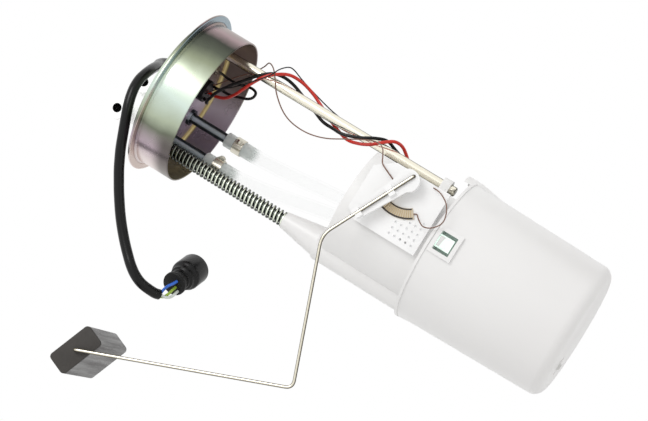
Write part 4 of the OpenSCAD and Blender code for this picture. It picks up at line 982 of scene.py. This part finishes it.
# Rays from the camera, from gloss and through clear hose see white, and all others a dimmer sky
def makeWorld(size):
    world = bpy.data.worlds.new("studio")
    bpy.context.scene.world = world
    world.use_nodes = True
    tree = world.node_tree
    tree.nodes.clear()
    rays = tree.nodes.new("ShaderNodeLightPath")
    seen, clear = (tree.nodes.new("ShaderNodeMath") for i in range(2))
    seen.operation = clear.operation = "MAXIMUM"
    tree.links.new(rays.outputs["Is Glossy Ray"], clear.inputs[0])
    tree.links.new(rays.outputs["Is Transmission Ray"], clear.inputs[1])
    tree.links.new(rays.outputs["Is Camera Ray"], seen.inputs[0])
    tree.links.new(clear.outputs[0], seen.inputs[1])
    sky, white = (tree.nodes.new("ShaderNodeBackground") for i in range(2))
    sky.inputs["Color"].default_value = size["skyColour"]
    sky.inputs["Strength"].default_value = size["sky"]
    white.inputs["Color"].default_value = (1.0, 1.0, 1.0, 1.0)
    white.inputs["Strength"].default_value = size["background"]
    mix = tree.nodes.new("ShaderNodeMixShader")
    out = tree.nodes.new("ShaderNodeOutputWorld")
    tree.links.new(seen.outputs[0], mix.inputs[0])
    tree.links.new(sky.outputs[0], mix.inputs[1])
    tree.links.new(white.outputs[0], mix.inputs[2])
    tree.links.new(mix.outputs[0], out.inputs[0])


def makeSheet(name, corners, shade, rough):
    mesh = bpy.data.meshes.new(name)
    mesh.from_pydata([list(c) for c in corners], [], [(0, 1, 2, 3)])
    sheet = bpy.data.objects.new(name, mesh)
    bpy.context.scene.collection.objects.link(sheet)
    mesh.materials.append(Finish(name, (shade, shade, shade), rough=rough).material)
    return sheet


def fromMiddle(size, at):
    offset = at[0] * viewRight + at[1] * viewUp + at[2] * viewBack
    return offset, (np.array(size["middle"]) + offset * 1000.0) * mm


def makeLamps(size):
    for name, lamp in size["lamps"].items():
        offset, place = fromMiddle(size, lamp["at"])
        data = bpy.data.lights.new(name, "AREA")
        data.shape = "DISK"
        data.size = lamp["size"]
        data.energy = lamp["power"]
        made = bpy.data.objects.new(name, data)
        bpy.context.scene.collection.objects.link(made)
        made.location = Vector(place)
        made.rotation_euler = Vector((-offset).tolist()).to_track_quat("-Z", "Y").to_euler()


# Dark cards beside the camera's view, seen only in the metal
def makeCards(size):
    for name, dark in size["cards"].items():
        offset, centre = fromMiddle(size, dark["at"])
        away = offset / np.linalg.norm(offset)
        side = np.cross(away, viewUp)
        side /= np.linalg.norm(side)
        top = np.cross(side, away)
        signs = ((-1, -1), (1, -1), (1, 1), (-1, 1))
        corners = [centre + a * side * dark["width"] / 2 + b * top * dark["height"] / 2 for a, b in signs]
        sheet = makeSheet(name, [c.tolist() for c in corners], dark["shade"], 1.0)
        for rays in ("camera", "diffuse", "shadow", "transmission"):
            setattr(sheet, "visible_" + rays, False)


def makeFloor(size):
    reach, low = size["floorReach"], size["floorHeight"]
    corners = [(a * reach, b * reach, low) for a, b in ((-1, -1), (1, -1), (1, 1), (-1, 1))]
    makeSheet("floor", corners, 0.97, 0.8)


makeWorld(stage)
makeFloor(stage)
makeLamps(stage)
makeCards(stage)
print("stage made")

bpy.context.scene.view_settings.view_transform = "Standard"
